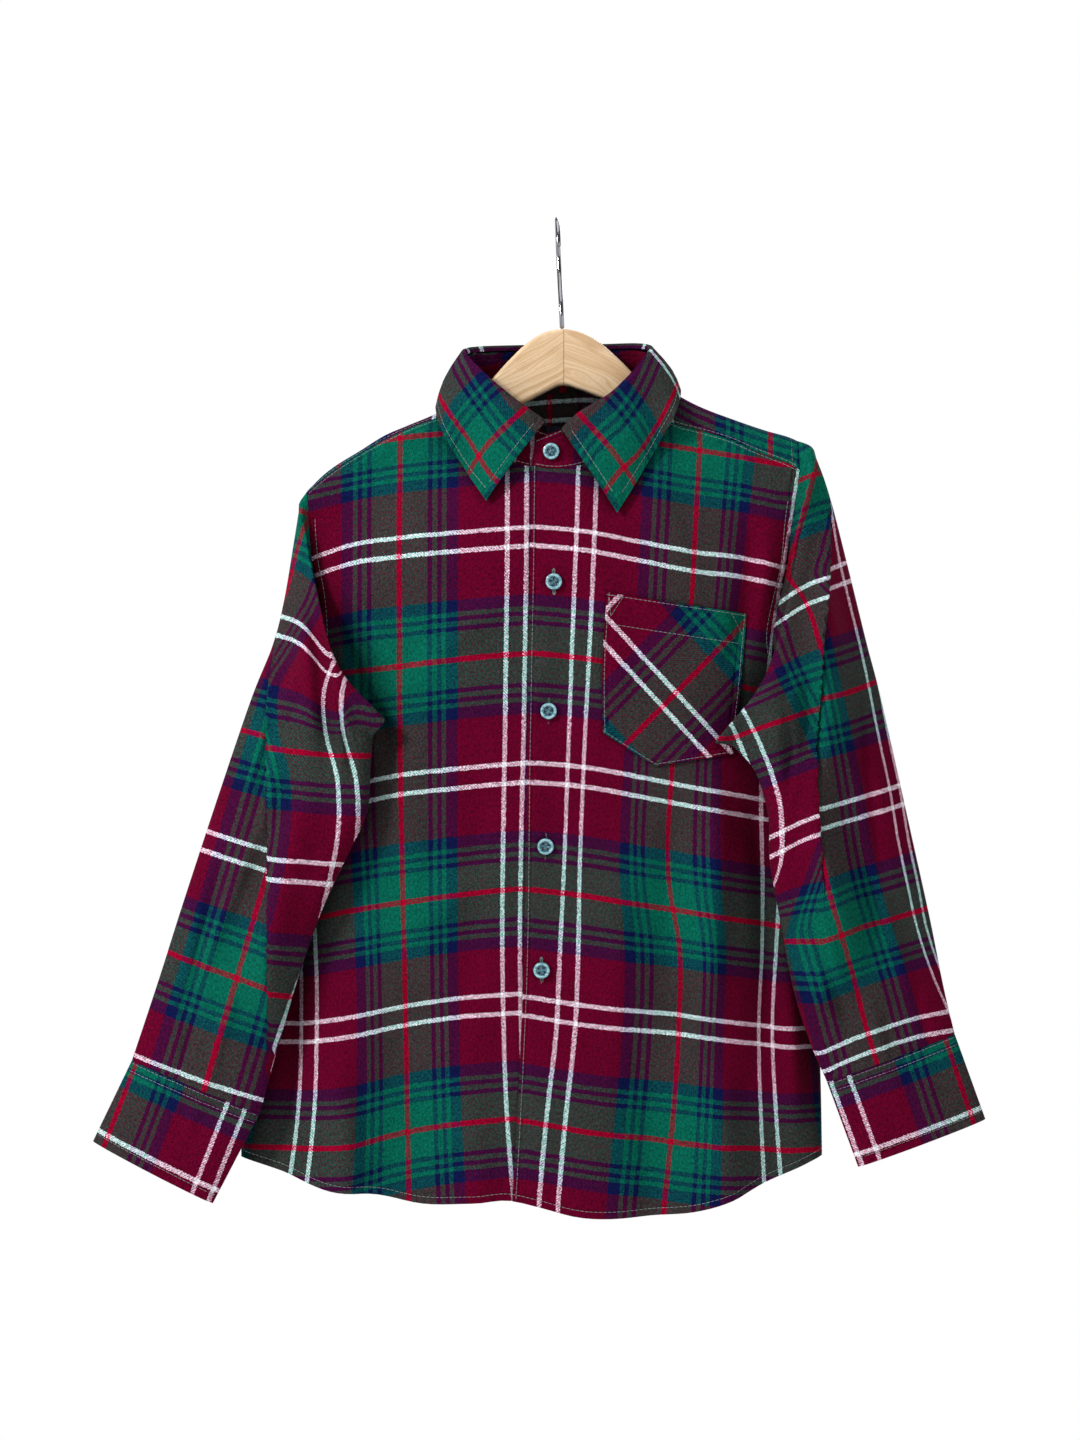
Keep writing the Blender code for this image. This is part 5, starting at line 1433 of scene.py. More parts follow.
def share_normals(panels: Iterable[Panel]) -> None:
    """Give the panels unit normals that agree wherever their points coincide.

    Args:
        panels: the panels, whose normals are set.
    """
    total: dict[tuple[int, ...], Array] = {}
    keys = {}
    for panel in panels:
        flat = unit(panel.raw_normals()).reshape(-1, 3)
        micrometres = np.rint(panel.grid.reshape(-1, 3) * 1000.0).astype(int)
        keys[panel.name] = [tuple(row) for row in micrometres.tolist()]
        for key, normal in zip(keys[panel.name], flat):
            total[key] = total.get(key, 0.0) + normal
    for panel in panels:
        panel.normals = unit(np.array([total[key] for key in keys[panel.name]])).reshape(panel.grid.shape)


# ---- stitching

@dataclass(frozen=True)
class Seam:
    """A row of machine stitches that follows one border of a panel.

    Attributes:
        border: "first" or "last" column, "top" or "foot" row.
        inset: distance of the row from that border, millimetres.
        start: share of the border at which it starts.
        end: share of the border at which it ends.
    """

    border: str
    inset: float
    start: float = 0.0
    end: float = 1.0


@dataclass
class Stitcher:
    """Lays thread on cloth as short dashes that dip into it at both ends."""

    name: str
    length: float = 2.3
    gap: float = 0.8
    radius: float = 0.2
    sides: int = 5
    bar_step: float = 0.45       # from bar to bar along a buttonhole
    bar: tuple[float, float] = (0.2, 1.05)   # from the cut to a bar's ends
    bar_radius: float = 0.21
    mesh: bmesh.types.BMesh = field(default_factory=bmesh.new)
    count: int = 0

    def dash(self, start: Array, end: Array, normal: Array, radius: float | None = None) -> None:
        """One stitch.

        Args:
            start: where it starts on the cloth's outer face.
            end: where it ends.
            normal: the cloth's normal.
            radius: the thread's radius, if it isn't the usual one.
        """
        run = Vector(end - start)
        if run.length < 1e-4:
            return
        radius = (radius or self.radius) * MM
        middle = Vector((start + end) / 2.0) * MM + Vector(normal) * radius * 0.4
        turn = run.to_track_quat("Z", "Y").to_matrix().to_4x4()
        made = bmesh.ops.create_cone(
            self.mesh, cap_ends=True, segments=self.sides, radius1=radius, radius2=radius,
            depth=run.length * MM, matrix=Matrix.Translation(middle) @ turn)
        for vert in made["verts"]:
            off = (vert.co - middle).dot(run.normalized())
            if abs(off) > run.length * MM * 0.49:
                vert.co -= Vector(normal) * radius * 0.8
        self.count += 1

    def path(self, points: Array, normals: Array, lift: float = CLOTH / 2.0) -> None:
        """Stitches along a line.

        Args:
            points: the line, on the middle of the cloth.
            normals: the cloth's normals there.
            lift: from the middle of the cloth to its face.
        """
        ways = arc_lengths(points)
        step = self.length + self.gap
        for number in range(int(ways[-1] / step)):
            ends = []
            for way in (number * step, number * step + self.length):
                point = np.array([np.interp(way, ways, points[:, n]) for n in range(3)])
                up = np.array([np.interp(way, ways, normals[:, n]) for n in range(3)])
                ends.append((point, unit(up)))
            up = unit(ends[0][1] + ends[1][1])
            self.dash(ends[0][0] + ends[0][1] * lift, ends[1][0] + ends[1][1] * lift, up)

    def seams(self, panel: Panel, seams: Iterable[Seam]) -> Stitcher:
        """All the given rows of one panel."""
        for seam in seams:
            self.path(*panel.line(seam.border, seam.inset, seam.start, seam.end))
        return self

    def buttonhole(self, centre: Array, along_hole: Array, normal: Array, length: float,
                   loose: bool) -> None:
        """A worked buttonhole: close bars on both lips and at its ends.

        Args:
            centre: its middle on the cloth's outer face.
            along_hole: the direction in which it is cut.
            normal: the cloth's normal.
            length: its length, in millimetres.
            loose: whether ends of the thread hang out of it.
        """
        run = unit(along_hole - normal * np.dot(along_hole, normal))
        across = unit(np.cross(normal, run))
        bars = int(length / self.bar_step)
        for side in (-1.0, 1.0):
            for bar in range(bars + 1):
                at = centre + run * (bar / bars - 0.5) * length
                self.dash(at + across * side * self.bar[0], at + across * side * self.bar[1],
                          normal, self.bar_radius)
        for end in (-1.0, 1.0):
            for bar in range(6):
                at = centre + run * end * (length / 2.0 + 0.25 * bar)
                wide = across * (1.2 - 0.18 * bar)
                self.dash(at - wide, at + wide, normal, 0.22)
        if loose:
            for end, bend in ((-1.0, 0.3), (1.0, -0.25)):
                at = centre + run * end * length / 2.0
                ahead = unit(run * end + across * bend)
                for _ in range(2):
                    ahead = unit(ahead + across * bend * 0.4)
                    self.dash(at + normal * 0.15, at + ahead * 0.8 + normal * 0.15, normal, 0.15)
                    at = at + ahead * 0.7

    def bar_tack(self, panel_point: Callable[[Array], tuple[Array, Array]], corners: Array) -> None:
        """Stitches round a small closed shape.

        Args:
            panel_point: gives the point and the normal of the cloth at an x and z.
            corners: the shape's corners, in x and z.
        """
        loop = np.concatenate([corners, corners[:1]])
        points, normals = [], []
        for share in shares(24):
            at = np.array([np.interp(share, shares(len(corners)), loop[:, n]) for n in range(2)])
            point, normal = panel_point(at)
            points.append(point)
            normals.append(normal)
        self.path(np.array(points), np.array(normals))

    def object(self) -> bpy.types.Object:
        """The thread as one object."""
        LOG.info("%s: %d stitches", self.name, self.count)
        return mesh_object(self.name, self.mesh)


SEAMS: dict[str, tuple[Seam, ...]] = {
    "front_right": (Seam("first", 3.0), Seam("foot", 4.8), Seam("last", 5.5, 0.06, 0.38),
                    Seam("top", 1.6, 0.46, 1.0), Seam("last", 1.8, 0.39, 1.0)),
    "front_left": (Seam("first", 2.6), Seam("foot", 4.8), Seam("last", 5.5, 0.06, 0.38),
                   Seam("top", 1.6, 0.46, 1.0), Seam("last", 1.8, 0.39, 1.0)),
    "back": (Seam("foot", 4.8), Seam("top", 1.8), Seam("last", 5.5, 0.0, 0.33),
             Seam("first", 5.5, 0.0, 0.33)),
    "yoke": (Seam("foot", 1.6), Seam("first", 5.5), Seam("last", 5.5), Seam("top", 1.6, 0.0, 0.24),
             Seam("top", 1.6, 0.76, 1.0)),
    "collar": (Seam("foot", 5.4, 0.035, 0.965), Seam("first", 5.4, 0.25, 0.92),
               Seam("last", 5.4, 0.25, 0.92)),
    "collar_stand": (Seam("top", 1.5), Seam("foot", 1.5)),
    "cuff_right": (Seam("top", 1.6), Seam("top", 6.8), Seam("foot", 6.0), Seam("last", 1.8)),
    "cuff_left": (Seam("top", 1.6), Seam("top", 6.8), Seam("foot", 6.0), Seam("last", 1.8)),
    "pocket": (Seam("first", 1.6), Seam("last", 1.6), Seam("foot", 1.6), Seam("top", 20.5, 0.03, 0.97),
               Seam("top", 1.4)),
    "neck_label": (Seam("first", 0.8), Seam("last", 0.8)),
}


# ---- buttons, hanger and hook

def point_on(panel: Panel, x: float, z: float) -> tuple[Array, Array]:
    """A point of a panel.

    Args:
        panel: the panel.
        x: across the view.
        z: the height.

    Returns:
        The point and the cloth's normal there.
    """
    off = (panel.grid[..., 0] - x) ** 2 + (panel.grid[..., 2] - z) ** 2
    column, row = np.unravel_index(np.argmin(off), off.shape)
    column, row = min(max(column, 1), off.shape[0] - 2), min(max(row, 1), off.shape[1] - 2)
    points = panel.grid[column - 1:column + 2, row - 1:row + 2].reshape(-1, 3)
    normals = panel.normals[column - 1:column + 2, row - 1:row + 2].reshape(-1, 3)
    away = np.hypot(points[:, 0] - x, points[:, 2] - z)
    near = 1.0 / (away + 0.05) ** 2
    normal = unit((normals * near[:, None]).sum(axis=0))
    # The plane through the nearest point, carried to x and z
    base = panel.grid[column, row] if off[column, row] < 4.0 else points[np.argmin(away)]
    y = base[1] - (normal[0] * (x - base[0]) + normal[2] * (z - base[2])) / normal[1]
    return np.array([x, y, z]), normal


@dataclass(frozen=True)
class Button:
    """A four-hole pearl shirt button."""

    name: str
    place: Array
    normal: Array
    size: float
    turn: float
    thick: float = 2.4

    SIDES = 40
    HOLE_SIDES = 14
    HOLE_AT = 0.27
    HOLE_RADIUS = 0.165
    FACE_RADIUS = 0.56
    FACE_HEIGHT = 0.62
    # From the face's edge over the rim to the back: shares of the radius and of the thickness
    RIM = ((0.56, 0.62), (0.62, 0.69), (0.70, 0.90), (0.76, 1.0), (0.86, 1.0), (0.94, 0.9), (1.0, 0.55),
           (0.985, 0.3), (0.88, 0.04), (0.80, 0.0), (0.56, 0.0))

    def frame(self) -> Matrix:
        """From the button's own axes, its face along +Z, to its place on the cloth.

        Returns:
            The matrix.
        """
        face = Vector(self.normal)
        side = Vector((0.0, 0.0, 1.0)).cross(face).normalized()
        up = face.cross(side)
        turn = Matrix((side, up, face)).transposed().to_4x4()
        return Matrix.Translation(Vector(self.place) * MM) @ turn @ Matrix.Rotation(self.turn, 4, "Z")

    def hole_centres(self) -> list[tuple[float, float]]:
        """The holes' middles on the face."""
        at = self.HOLE_AT * self.size / 2.0 * math.sqrt(2.0)
        return [(at * math.cos(angle), at * math.sin(angle))
                for angle in (math.pi / 4.0 + n * math.pi / 2.0 for n in range(4))]

    def build(self) -> bpy.types.Object:
        """The button's body.

        Returns:
            The object, with each point's share of the radius as the attribute "from_middle".
        """
        radius, thick = self.size / 2.0, self.thick
        mesh = bmesh.new()

        def ring(centre: tuple[float, float], size: float, sides: int) -> None:
            """A circle on the face, with its radius in millimetres."""
            at = Matrix.Translation((centre[0] * MM, centre[1] * MM, thick * self.FACE_HEIGHT * MM))
            bmesh.ops.create_circle(mesh, cap_ends=False, radius=size * MM, segments=sides, matrix=at)

        ring((0.0, 0.0), radius * self.FACE_RADIUS, self.SIDES)
        for centre in self.hole_centres():
            ring(centre, radius * self.HOLE_RADIUS, self.HOLE_SIDES)
        bmesh.ops.triangle_fill(mesh, use_beauty=True, use_dissolve=False, edges=mesh.edges[:])
        lifted = bmesh.ops.extrude_face_region(mesh, geom=mesh.faces[:], use_keep_orig=True)
        moved = [item for item in lifted["geom"] if isinstance(item, bmesh.types.BMVert)]
        bmesh.ops.translate(mesh, verts=moved, vec=(0.0, 0.0, -thick * self.FACE_HEIGHT * MM))
        edge = radius * self.FACE_RADIUS * MM
        walls = [face for face in mesh.faces
                 if all(vert.co.xy.length > edge * 0.99 for vert in face.verts)]
        bmesh.ops.delete(mesh, geom=walls, context="FACES_ONLY")
        profile = [mesh.verts.new((radius * share * MM, 0.0, thick * height * MM))
                   for share, height in self.RIM]
        rim = [mesh.edges.new(pair) for pair in zip(profile, profile[1:])]
        bmesh.ops.spin(mesh, geom=profile + rim, cent=(0, 0, 0), axis=(0, 0, 1), angle=2.0 * math.pi,
                       steps=self.SIDES, use_merge=True)
        bmesh.ops.remove_doubles(mesh, verts=mesh.verts, dist=1e-5)
        loose = [edge for edge in mesh.edges if not edge.link_faces]
        bmesh.ops.delete(mesh, geom=loose, context="EDGES")
        bmesh.ops.recalc_face_normals(mesh, faces=mesh.faces)
        from_middle = mesh.verts.layers.float.new("from_middle")
        for vert in mesh.verts:
            vert[from_middle] = vert.co.xy.length / (radius * MM)
        bmesh.ops.transform(mesh, matrix=self.frame(), verts=mesh.verts)
        return mesh_object(f"{self.name}_pearl", mesh, 35.0)

    def thread(self, across: Stitcher, shank: Stitcher) -> None:
        """Sewing thread across the face between the holes, and thread down in them that is coloured near
        black as painted shade of the holes.

        Args:
            across: takes the thread on the face.
            shank: takes the thread in the holes, near black as painted shade.
        """
        frame = self.frame()
        face = np.array(self.normal)
        height = self.thick * self.FACE_HEIGHT
        holes = self.hole_centres()

        def point(hole: int, shift: float, lift: float) -> Array:
            """A point beside and above the middle of a hole."""
            local = Vector((holes[hole][0] + shift, holes[hole][1], height + lift)) * MM
            return np.array(frame @ local) / MM

        for first, second in ((0, 3), (1, 2)):
            for shift in (-0.13, 0.13):
                across.dash(point(first, shift, 0.08), point(second, shift, 0.08), face, 0.13)
        reach = self.HOLE_RADIUS * self.size / 2.0
        for hole in range(len(holes)):
            # Thick dashes that fill each hole, in the near-black thread: painted shade
            shank.dash(point(hole, -reach, -0.5), point(hole, reach, -0.5), face, reach * 0.95)
            away = (point(hole, 0.0, 0.0) - point(hole, 0.0, -height)) * 0.3
            shank.dash(np.array(self.place) - away, point(hole, 0.0, -0.5), face, 0.3)


@dataclass(frozen=True)
class Hanger:
    """The flat wooden hanger: two arms glued at the middle, and its wire hook."""

    thick: float = 12.0
    rounding: float = 2.6
    columns: tuple[tuple[float, float, int], ...] = (
        (-154.0, -60.0, 26), (-45.0, 51.5, 44), (66.0, 153.0, 24))
    grain_angles: tuple[float, float] = (30.0, -26.0)   # how the left and the right arm's grain climbs
    grain_shift: float = 0.7     # between the places of the two arms' planks
    grain_slant: float = 0.35    # how far the grain shifts across, for each way in depth
    wire: float = 3.2
    sides: int = 20
    arc: float = 20.6            # the radius over the rail
    arc_start: float = -18.0
    arc_sweep: float = 200.0
    shank: float = 11.0
    shank_foot: float = 0.3
    tip_reach: float = 0.9       # how far from its ends the wire is rounded
    tip_share: float = 0.04

    def outline(self) -> Array:
        """Closed outline in x and z.

        Returns:
            Its corners, in order.
        """
        x = np.concatenate([np.linspace(start, end, count) for start, end, count in self.columns])
        upper = stacked(x, along(HANGER, 0, x, 1))
        lower = stacked(x, along(HANGER, 0, x, 2))[::-1]
        left, right = HANGER[0], HANGER[-1]
        return np.concatenate([[(left[0], left[2]), (left[0], left[1])], upper,
                               [(right[0], right[1]), (right[0], right[2])], lower])

    def body(self) -> bpy.types.Object:
        """The wood, rounded along its long edges, with its grain's run as a UV map.

        Returns:
            The object.
        """
        mesh = bmesh.new()
        verts = [mesh.verts.new((x * MM, -self.thick / 2.0 * MM, z * MM)) for x, z in self.outline()]
        face = mesh.faces.new(verts)
        lifted = bmesh.ops.extrude_face_region(mesh, geom=[face], use_keep_orig=True)
        moved = [item for item in lifted["geom"] if isinstance(item, bmesh.types.BMVert)]
        bmesh.ops.translate(mesh, verts=moved, vec=(0.0, self.thick * MM, 0.0))
        bmesh.ops.recalc_face_normals(mesh, faces=mesh.faces)
        rims = [edge for edge in mesh.edges if abs(edge.verts[0].co.y - edge.verts[1].co.y) < 1e-9]
        bmesh.ops.bevel(mesh, geom=rims, offset=self.rounding * MM, offset_type="OFFSET", affect="EDGES",
                        segments=5, profile=0.5, material=-1)
        bmesh.ops.triangulate(mesh, faces=[face for face in mesh.faces if len(face.verts) > 4])
        grain = mesh.loops.layers.uv.new("grain")
        for face in mesh.faces:
            left = face.calc_center_median().x < HANGER_MIDDLE * MM
            for loop in face.loops:
                loop[grain].uv = self.grain(loop.vert.co, left)
        return mesh_object("hanger_body_wood", mesh, 40.0)

    def grain(self, point: Vector, left: bool) -> tuple[float, float]:
        """Where a point lies in the plank that its arm is cut from.

        Args:
            point: the point.
            left: whether it is on the arm at the left of the view.

        Returns:
            Its ways along and across the plank.
        """
        angle = math.radians(self.grain_angles[0 if left else 1])
        along_arm = point.x * math.cos(angle) + point.z * math.sin(angle)
        across_arm = -point.x * math.sin(angle) + point.z * math.cos(angle)
        return along_arm + (0.0 if left else self.grain_shift), across_arm + point.y * self.grain_slant

    def hook_path(self) -> Array:
        """The hook's middle line: straight out of the wood, then the arc over the rail.

        Returns:
            The line's points.
        """
        foot_x, foot_z = HOOK_FOOT
        centre_z = self.wire / 2.0 - self.arc
        start = math.radians(self.arc_start)
        points = [(0.0, foot_z + self.shank_foot)]
        for share in shares(5)[:-1]:
            points.append((mix(0.0, self.arc * math.cos(start), smooth(share)),
                           mix(foot_z + self.shank, centre_z + self.arc * math.sin(start), share)))
        for angle in start + math.radians(self.arc_sweep) * shares(18):
            points.append((self.arc * math.cos(angle), centre_z + self.arc * math.sin(angle)))
        rows = np.array([(foot_x * z / foot_z, y, z) for y, z in points])
        return spline(rows, shares(120))

    def hook(self) -> bpy.types.Object:
        """The wire as a round tube with softened ends.

        Returns:
            The object.
        """
        path, sides = self.hook_path(), self.sides
        tangents = unit(np.gradient(path, axis=0))
        ways = arc_lengths(path)
        ends = np.minimum(ways, ways[-1] - ways)
        round_off = 1.0 - (1.0 - np.clip(ends / self.tip_reach, 0.0, 1.0)) ** 2
        radius = self.wire / 2.0 * np.sqrt(np.clip(round_off, self.tip_share, 1.0))
        mesh = bmesh.new()
        bmesh.ops.create_grid(mesh, x_segments=sides, y_segments=len(path) - 1, size=0.5)
        for vert in mesh.verts:
            around = (vert.co.x + 0.5) * 2.0 * math.pi
            row = int(round((vert.co.y + 0.5) * (len(path) - 1)))
            side = unit(np.cross(tangents[row], (1.0, 0.0, 0.0)))
            other = np.cross(tangents[row], side)
            at = path[row] + radius[row] * (math.cos(around) * side + math.sin(around) * other)
            vert.co = Vector(at * MM)
        bmesh.ops.remove_doubles(mesh, verts=mesh.verts, dist=1e-6)
        bmesh.ops.holes_fill(mesh, edges=mesh.edges[:], sides=sides)
        bmesh.ops.recalc_face_normals(mesh, faces=mesh.faces)
        return mesh_object("hanger_hook_wire", mesh, 60.0)


# ---- finishes

def srgb(red: float, green: float, blue: float) -> tuple[float, float, float, float]:
    """A linear colour from 0 to 255 display values."""
    linear = [value / 255.0 for value in (red, green, blue)]
    linear = [value / 12.92 if value <= 0.04045 else ((value + 0.055) / 1.055) ** 2.4 for value in linear]
    return (*linear, 1.0)


class Yarn(Enum):
    """The dyed yarns of the tartan."""

    RED = srgb(172, 4, 42)
    GREEN = srgb(3, 98, 79)
    NAVY = srgb(11, 20, 68)
    BURGUNDY = srgb(98, 0, 37)
    WHITE = srgb(246, 245, 248)


# Half a repeat of the sett: where each band ends, from the middle of the red line, millimetres
SETT = (
    (1.65, Yarn.RED), (18.8, Yarn.GREEN), (21.9, Yarn.NAVY), (25.1, Yarn.GREEN), (28.3, Yarn.NAVY),
    (31.5, Yarn.GREEN), (39.3, Yarn.NAVY), (70.05, Yarn.BURGUNDY), (73.35, Yarn.WHITE),
    (HALF_SETT, Yarn.BURGUNDY),
)


@dataclass(frozen=True)
class Finish:
    """The constants of one material's surface."""

    roughness: float
    specular: float = 0.3
    sheen: float = 0.0
    coat: float = 0.0
    metallic: float = 0.0


FINISHES = {
    "flannel": Finish(0.95, 0.03, sheen=0.02),
    "thread": Finish(0.7, 0.25, sheen=0.1),
    "label": Finish(0.42, 0.4, sheen=0.1),
    "button": Finish(0.22, 0.5, coat=0.55),
    "beech": Finish(0.42, 0.45, coat=0.25),
    "hook_wire": Finish(0.16, 0.5, metallic=1.0),
    "floor": Finish(0.9, 0.1),
}


@dataclass(frozen=True)
class Value:
    """What comes out of a node, with arithmetic that adds the nodes for it."""

    graph: Graph
    socket: bpy.types.NodeSocket

    def __add__(self, other: Value | float) -> Value:
        """The sum."""
        return self.graph.math("ADD", self, other)

    def __sub__(self, other: Value | float) -> Value:
        """The difference."""
        return self.graph.math("SUBTRACT", self, other)

    def __mul__(self, other: Value | float) -> Value:
        """The product."""
        return self.graph.math("MULTIPLY", self, other)


@dataclass(frozen=True)
class Graph:
    """A short way to write a shader node tree."""

    tree: bpy.types.NodeTree

    def node(self, kind: str, inputs: dict | None = None, **settings: object) -> bpy.types.Node:
        """Add a node.

        Args:
            kind: the node's type.
            inputs: what its inputs take, by name or number: an output to link, or a value.
            settings: its own properties.

        Returns:
            The node.
        """
        made = self.tree.nodes.new(kind)
        for name, value in settings.items():
            setattr(made, name, value)
        for name, value in (inputs or {}).items():
            self.feed(made.inputs[name], value)
        return made

    def feed(self, socket: bpy.types.NodeSocket, value: object) -> None:
        """Link an output into an input, or set the input's value.

        Args:
            socket: the input.
            value: the output to link, or the value.
        """
        if isinstance(value, Value):
            self.tree.links.new(value.socket, socket)
        else:
            socket.default_value = value

    def out(self, kind: str, output: str | int, inputs: dict | None = None, **settings: object) -> Value:
        """One output of a new node."""
        return Value(self, self.node(kind, inputs, **settings).outputs[output])

    def parts(self, kind: str, inputs: dict, **settings: object) -> list[Value]:
        """All outputs of a new node."""
        return [Value(self, output) for output in self.node(kind, inputs, **settings).outputs]

    def math(self, operation: str, *values: Value | float, clamp: bool = False) -> Value:
        """The result of one step of arithmetic."""
        return self.out("ShaderNodeMath", 0, dict(enumerate(values)), operation=operation,
                        use_clamp=clamp)

    def wave(self, way: Value, length: float) -> Value:
        """A wave from -1 to 1 along a way."""
        return self.math("SINE", way * (2.0 * math.pi / length))

    def blend(self, factor: Value | float, first: object, second: object, kind: str = "MIX") -> Value:
        """Two colours mixed."""
        return self.out("ShaderNodeMix", 2, {0: factor, 6: first, 7: second}, data_type="RGBA",
                        blend_type=kind)

    def shaded(self, color: Value, shade: Value) -> Value:
        """A colour made darker or lighter by a shade."""
        return self.blend(1.0, color, self.together(shade, shade, shade), "MULTIPLY")

    def noise(self, vector: Value, scale: float, detail: float = 2.0, rough: float = 0.5) -> Value:
        """Noise from 0 to 1 round 0.5."""
        return self.out("ShaderNodeTexNoise", "Fac", {
            "Vector": vector, "Scale": scale, "Detail": detail, "Roughness": rough})

    def steps(self, factor: Value, stops: Sequence[tuple[float, tuple]]) -> Value:
        """A colour that changes at once at each stop.

        Args:
            factor: the place between 0 and 1.
            stops: the place from which each colour holds, and the colour.

        Returns:
            The colour.
        """
        made = self.node("ShaderNodeValToRGB", {"Fac": factor})
        ramp = made.color_ramp
        ramp.interpolation = "CONSTANT"
        for number, (place, color) in enumerate(stops):
            element = ramp.elements[number] if number < 2 else ramp.elements.new(place)
            element.position = place
            element.color = color
        return Value(self, made.outputs["Color"])

    def remap(self, value: Value, low: float, high: float, to_low: float = 0.0, to_high: float = 1.0,
              kind: str = "SMOOTHSTEP") -> Value:
        """A value stretched from one range to another, kept inside it.

        Args:
            value: the value.
            low: the start of its own range.
            high: the end of its own range.
            to_low: the start of the new range.
            to_high: the end of the new range.
            kind: how it runs between them.

        Returns:
            The new value.
        """
        return self.out("ShaderNodeMapRange", "Result", {
            "Value": value, "From Min": low, "From Max": high, "To Min": to_low, "To Max": to_high},
            interpolation_type=kind)

    def apart(self, vector: Value) -> list[Value]:
        """A vector's three parts."""
        return self.parts("ShaderNodeSeparateXYZ", {"Vector": vector})

    def hsv(self, color: Value) -> list[Value]:
        """A colour's hue, saturation and value."""
        return self.parts("ShaderNodeSeparateColor", {"Color": color}, mode="HSV")

    def gamma(self, color: Value, power: float) -> Value:
        """A colour raised to a power."""
        return self.out("ShaderNodeGamma", 0, {"Color": color, "Gamma": power})

    def together(self, *parts: Value | float) -> Value:
        """A vector from its parts."""
        return self.out("ShaderNodeCombineXYZ", 0, dict(enumerate(parts)))

    def scaled(self, vector: Value, factors: tuple[float, float, float]) -> Value:
        """A vector stretched along its axes."""
        return self.out("ShaderNodeVectorMath", 0, {0: vector, 1: factors}, operation="MULTIPLY")

    def flat_mm(self, vector: Value) -> Value:
        """The first two parts of a vector in metres, as millimetres."""
        return self.scaled(vector, (1000.0, 1000.0, 0.0))

    def surface(self) -> Value:
        """The place of a point of the surface."""
        return self.out("ShaderNodeTexCoord", "Object")

    def uv(self, name: str) -> Value:
        """A place in one of the piece's own maps."""
        return self.out("ShaderNodeUVMap", "UV", uv_map=name)


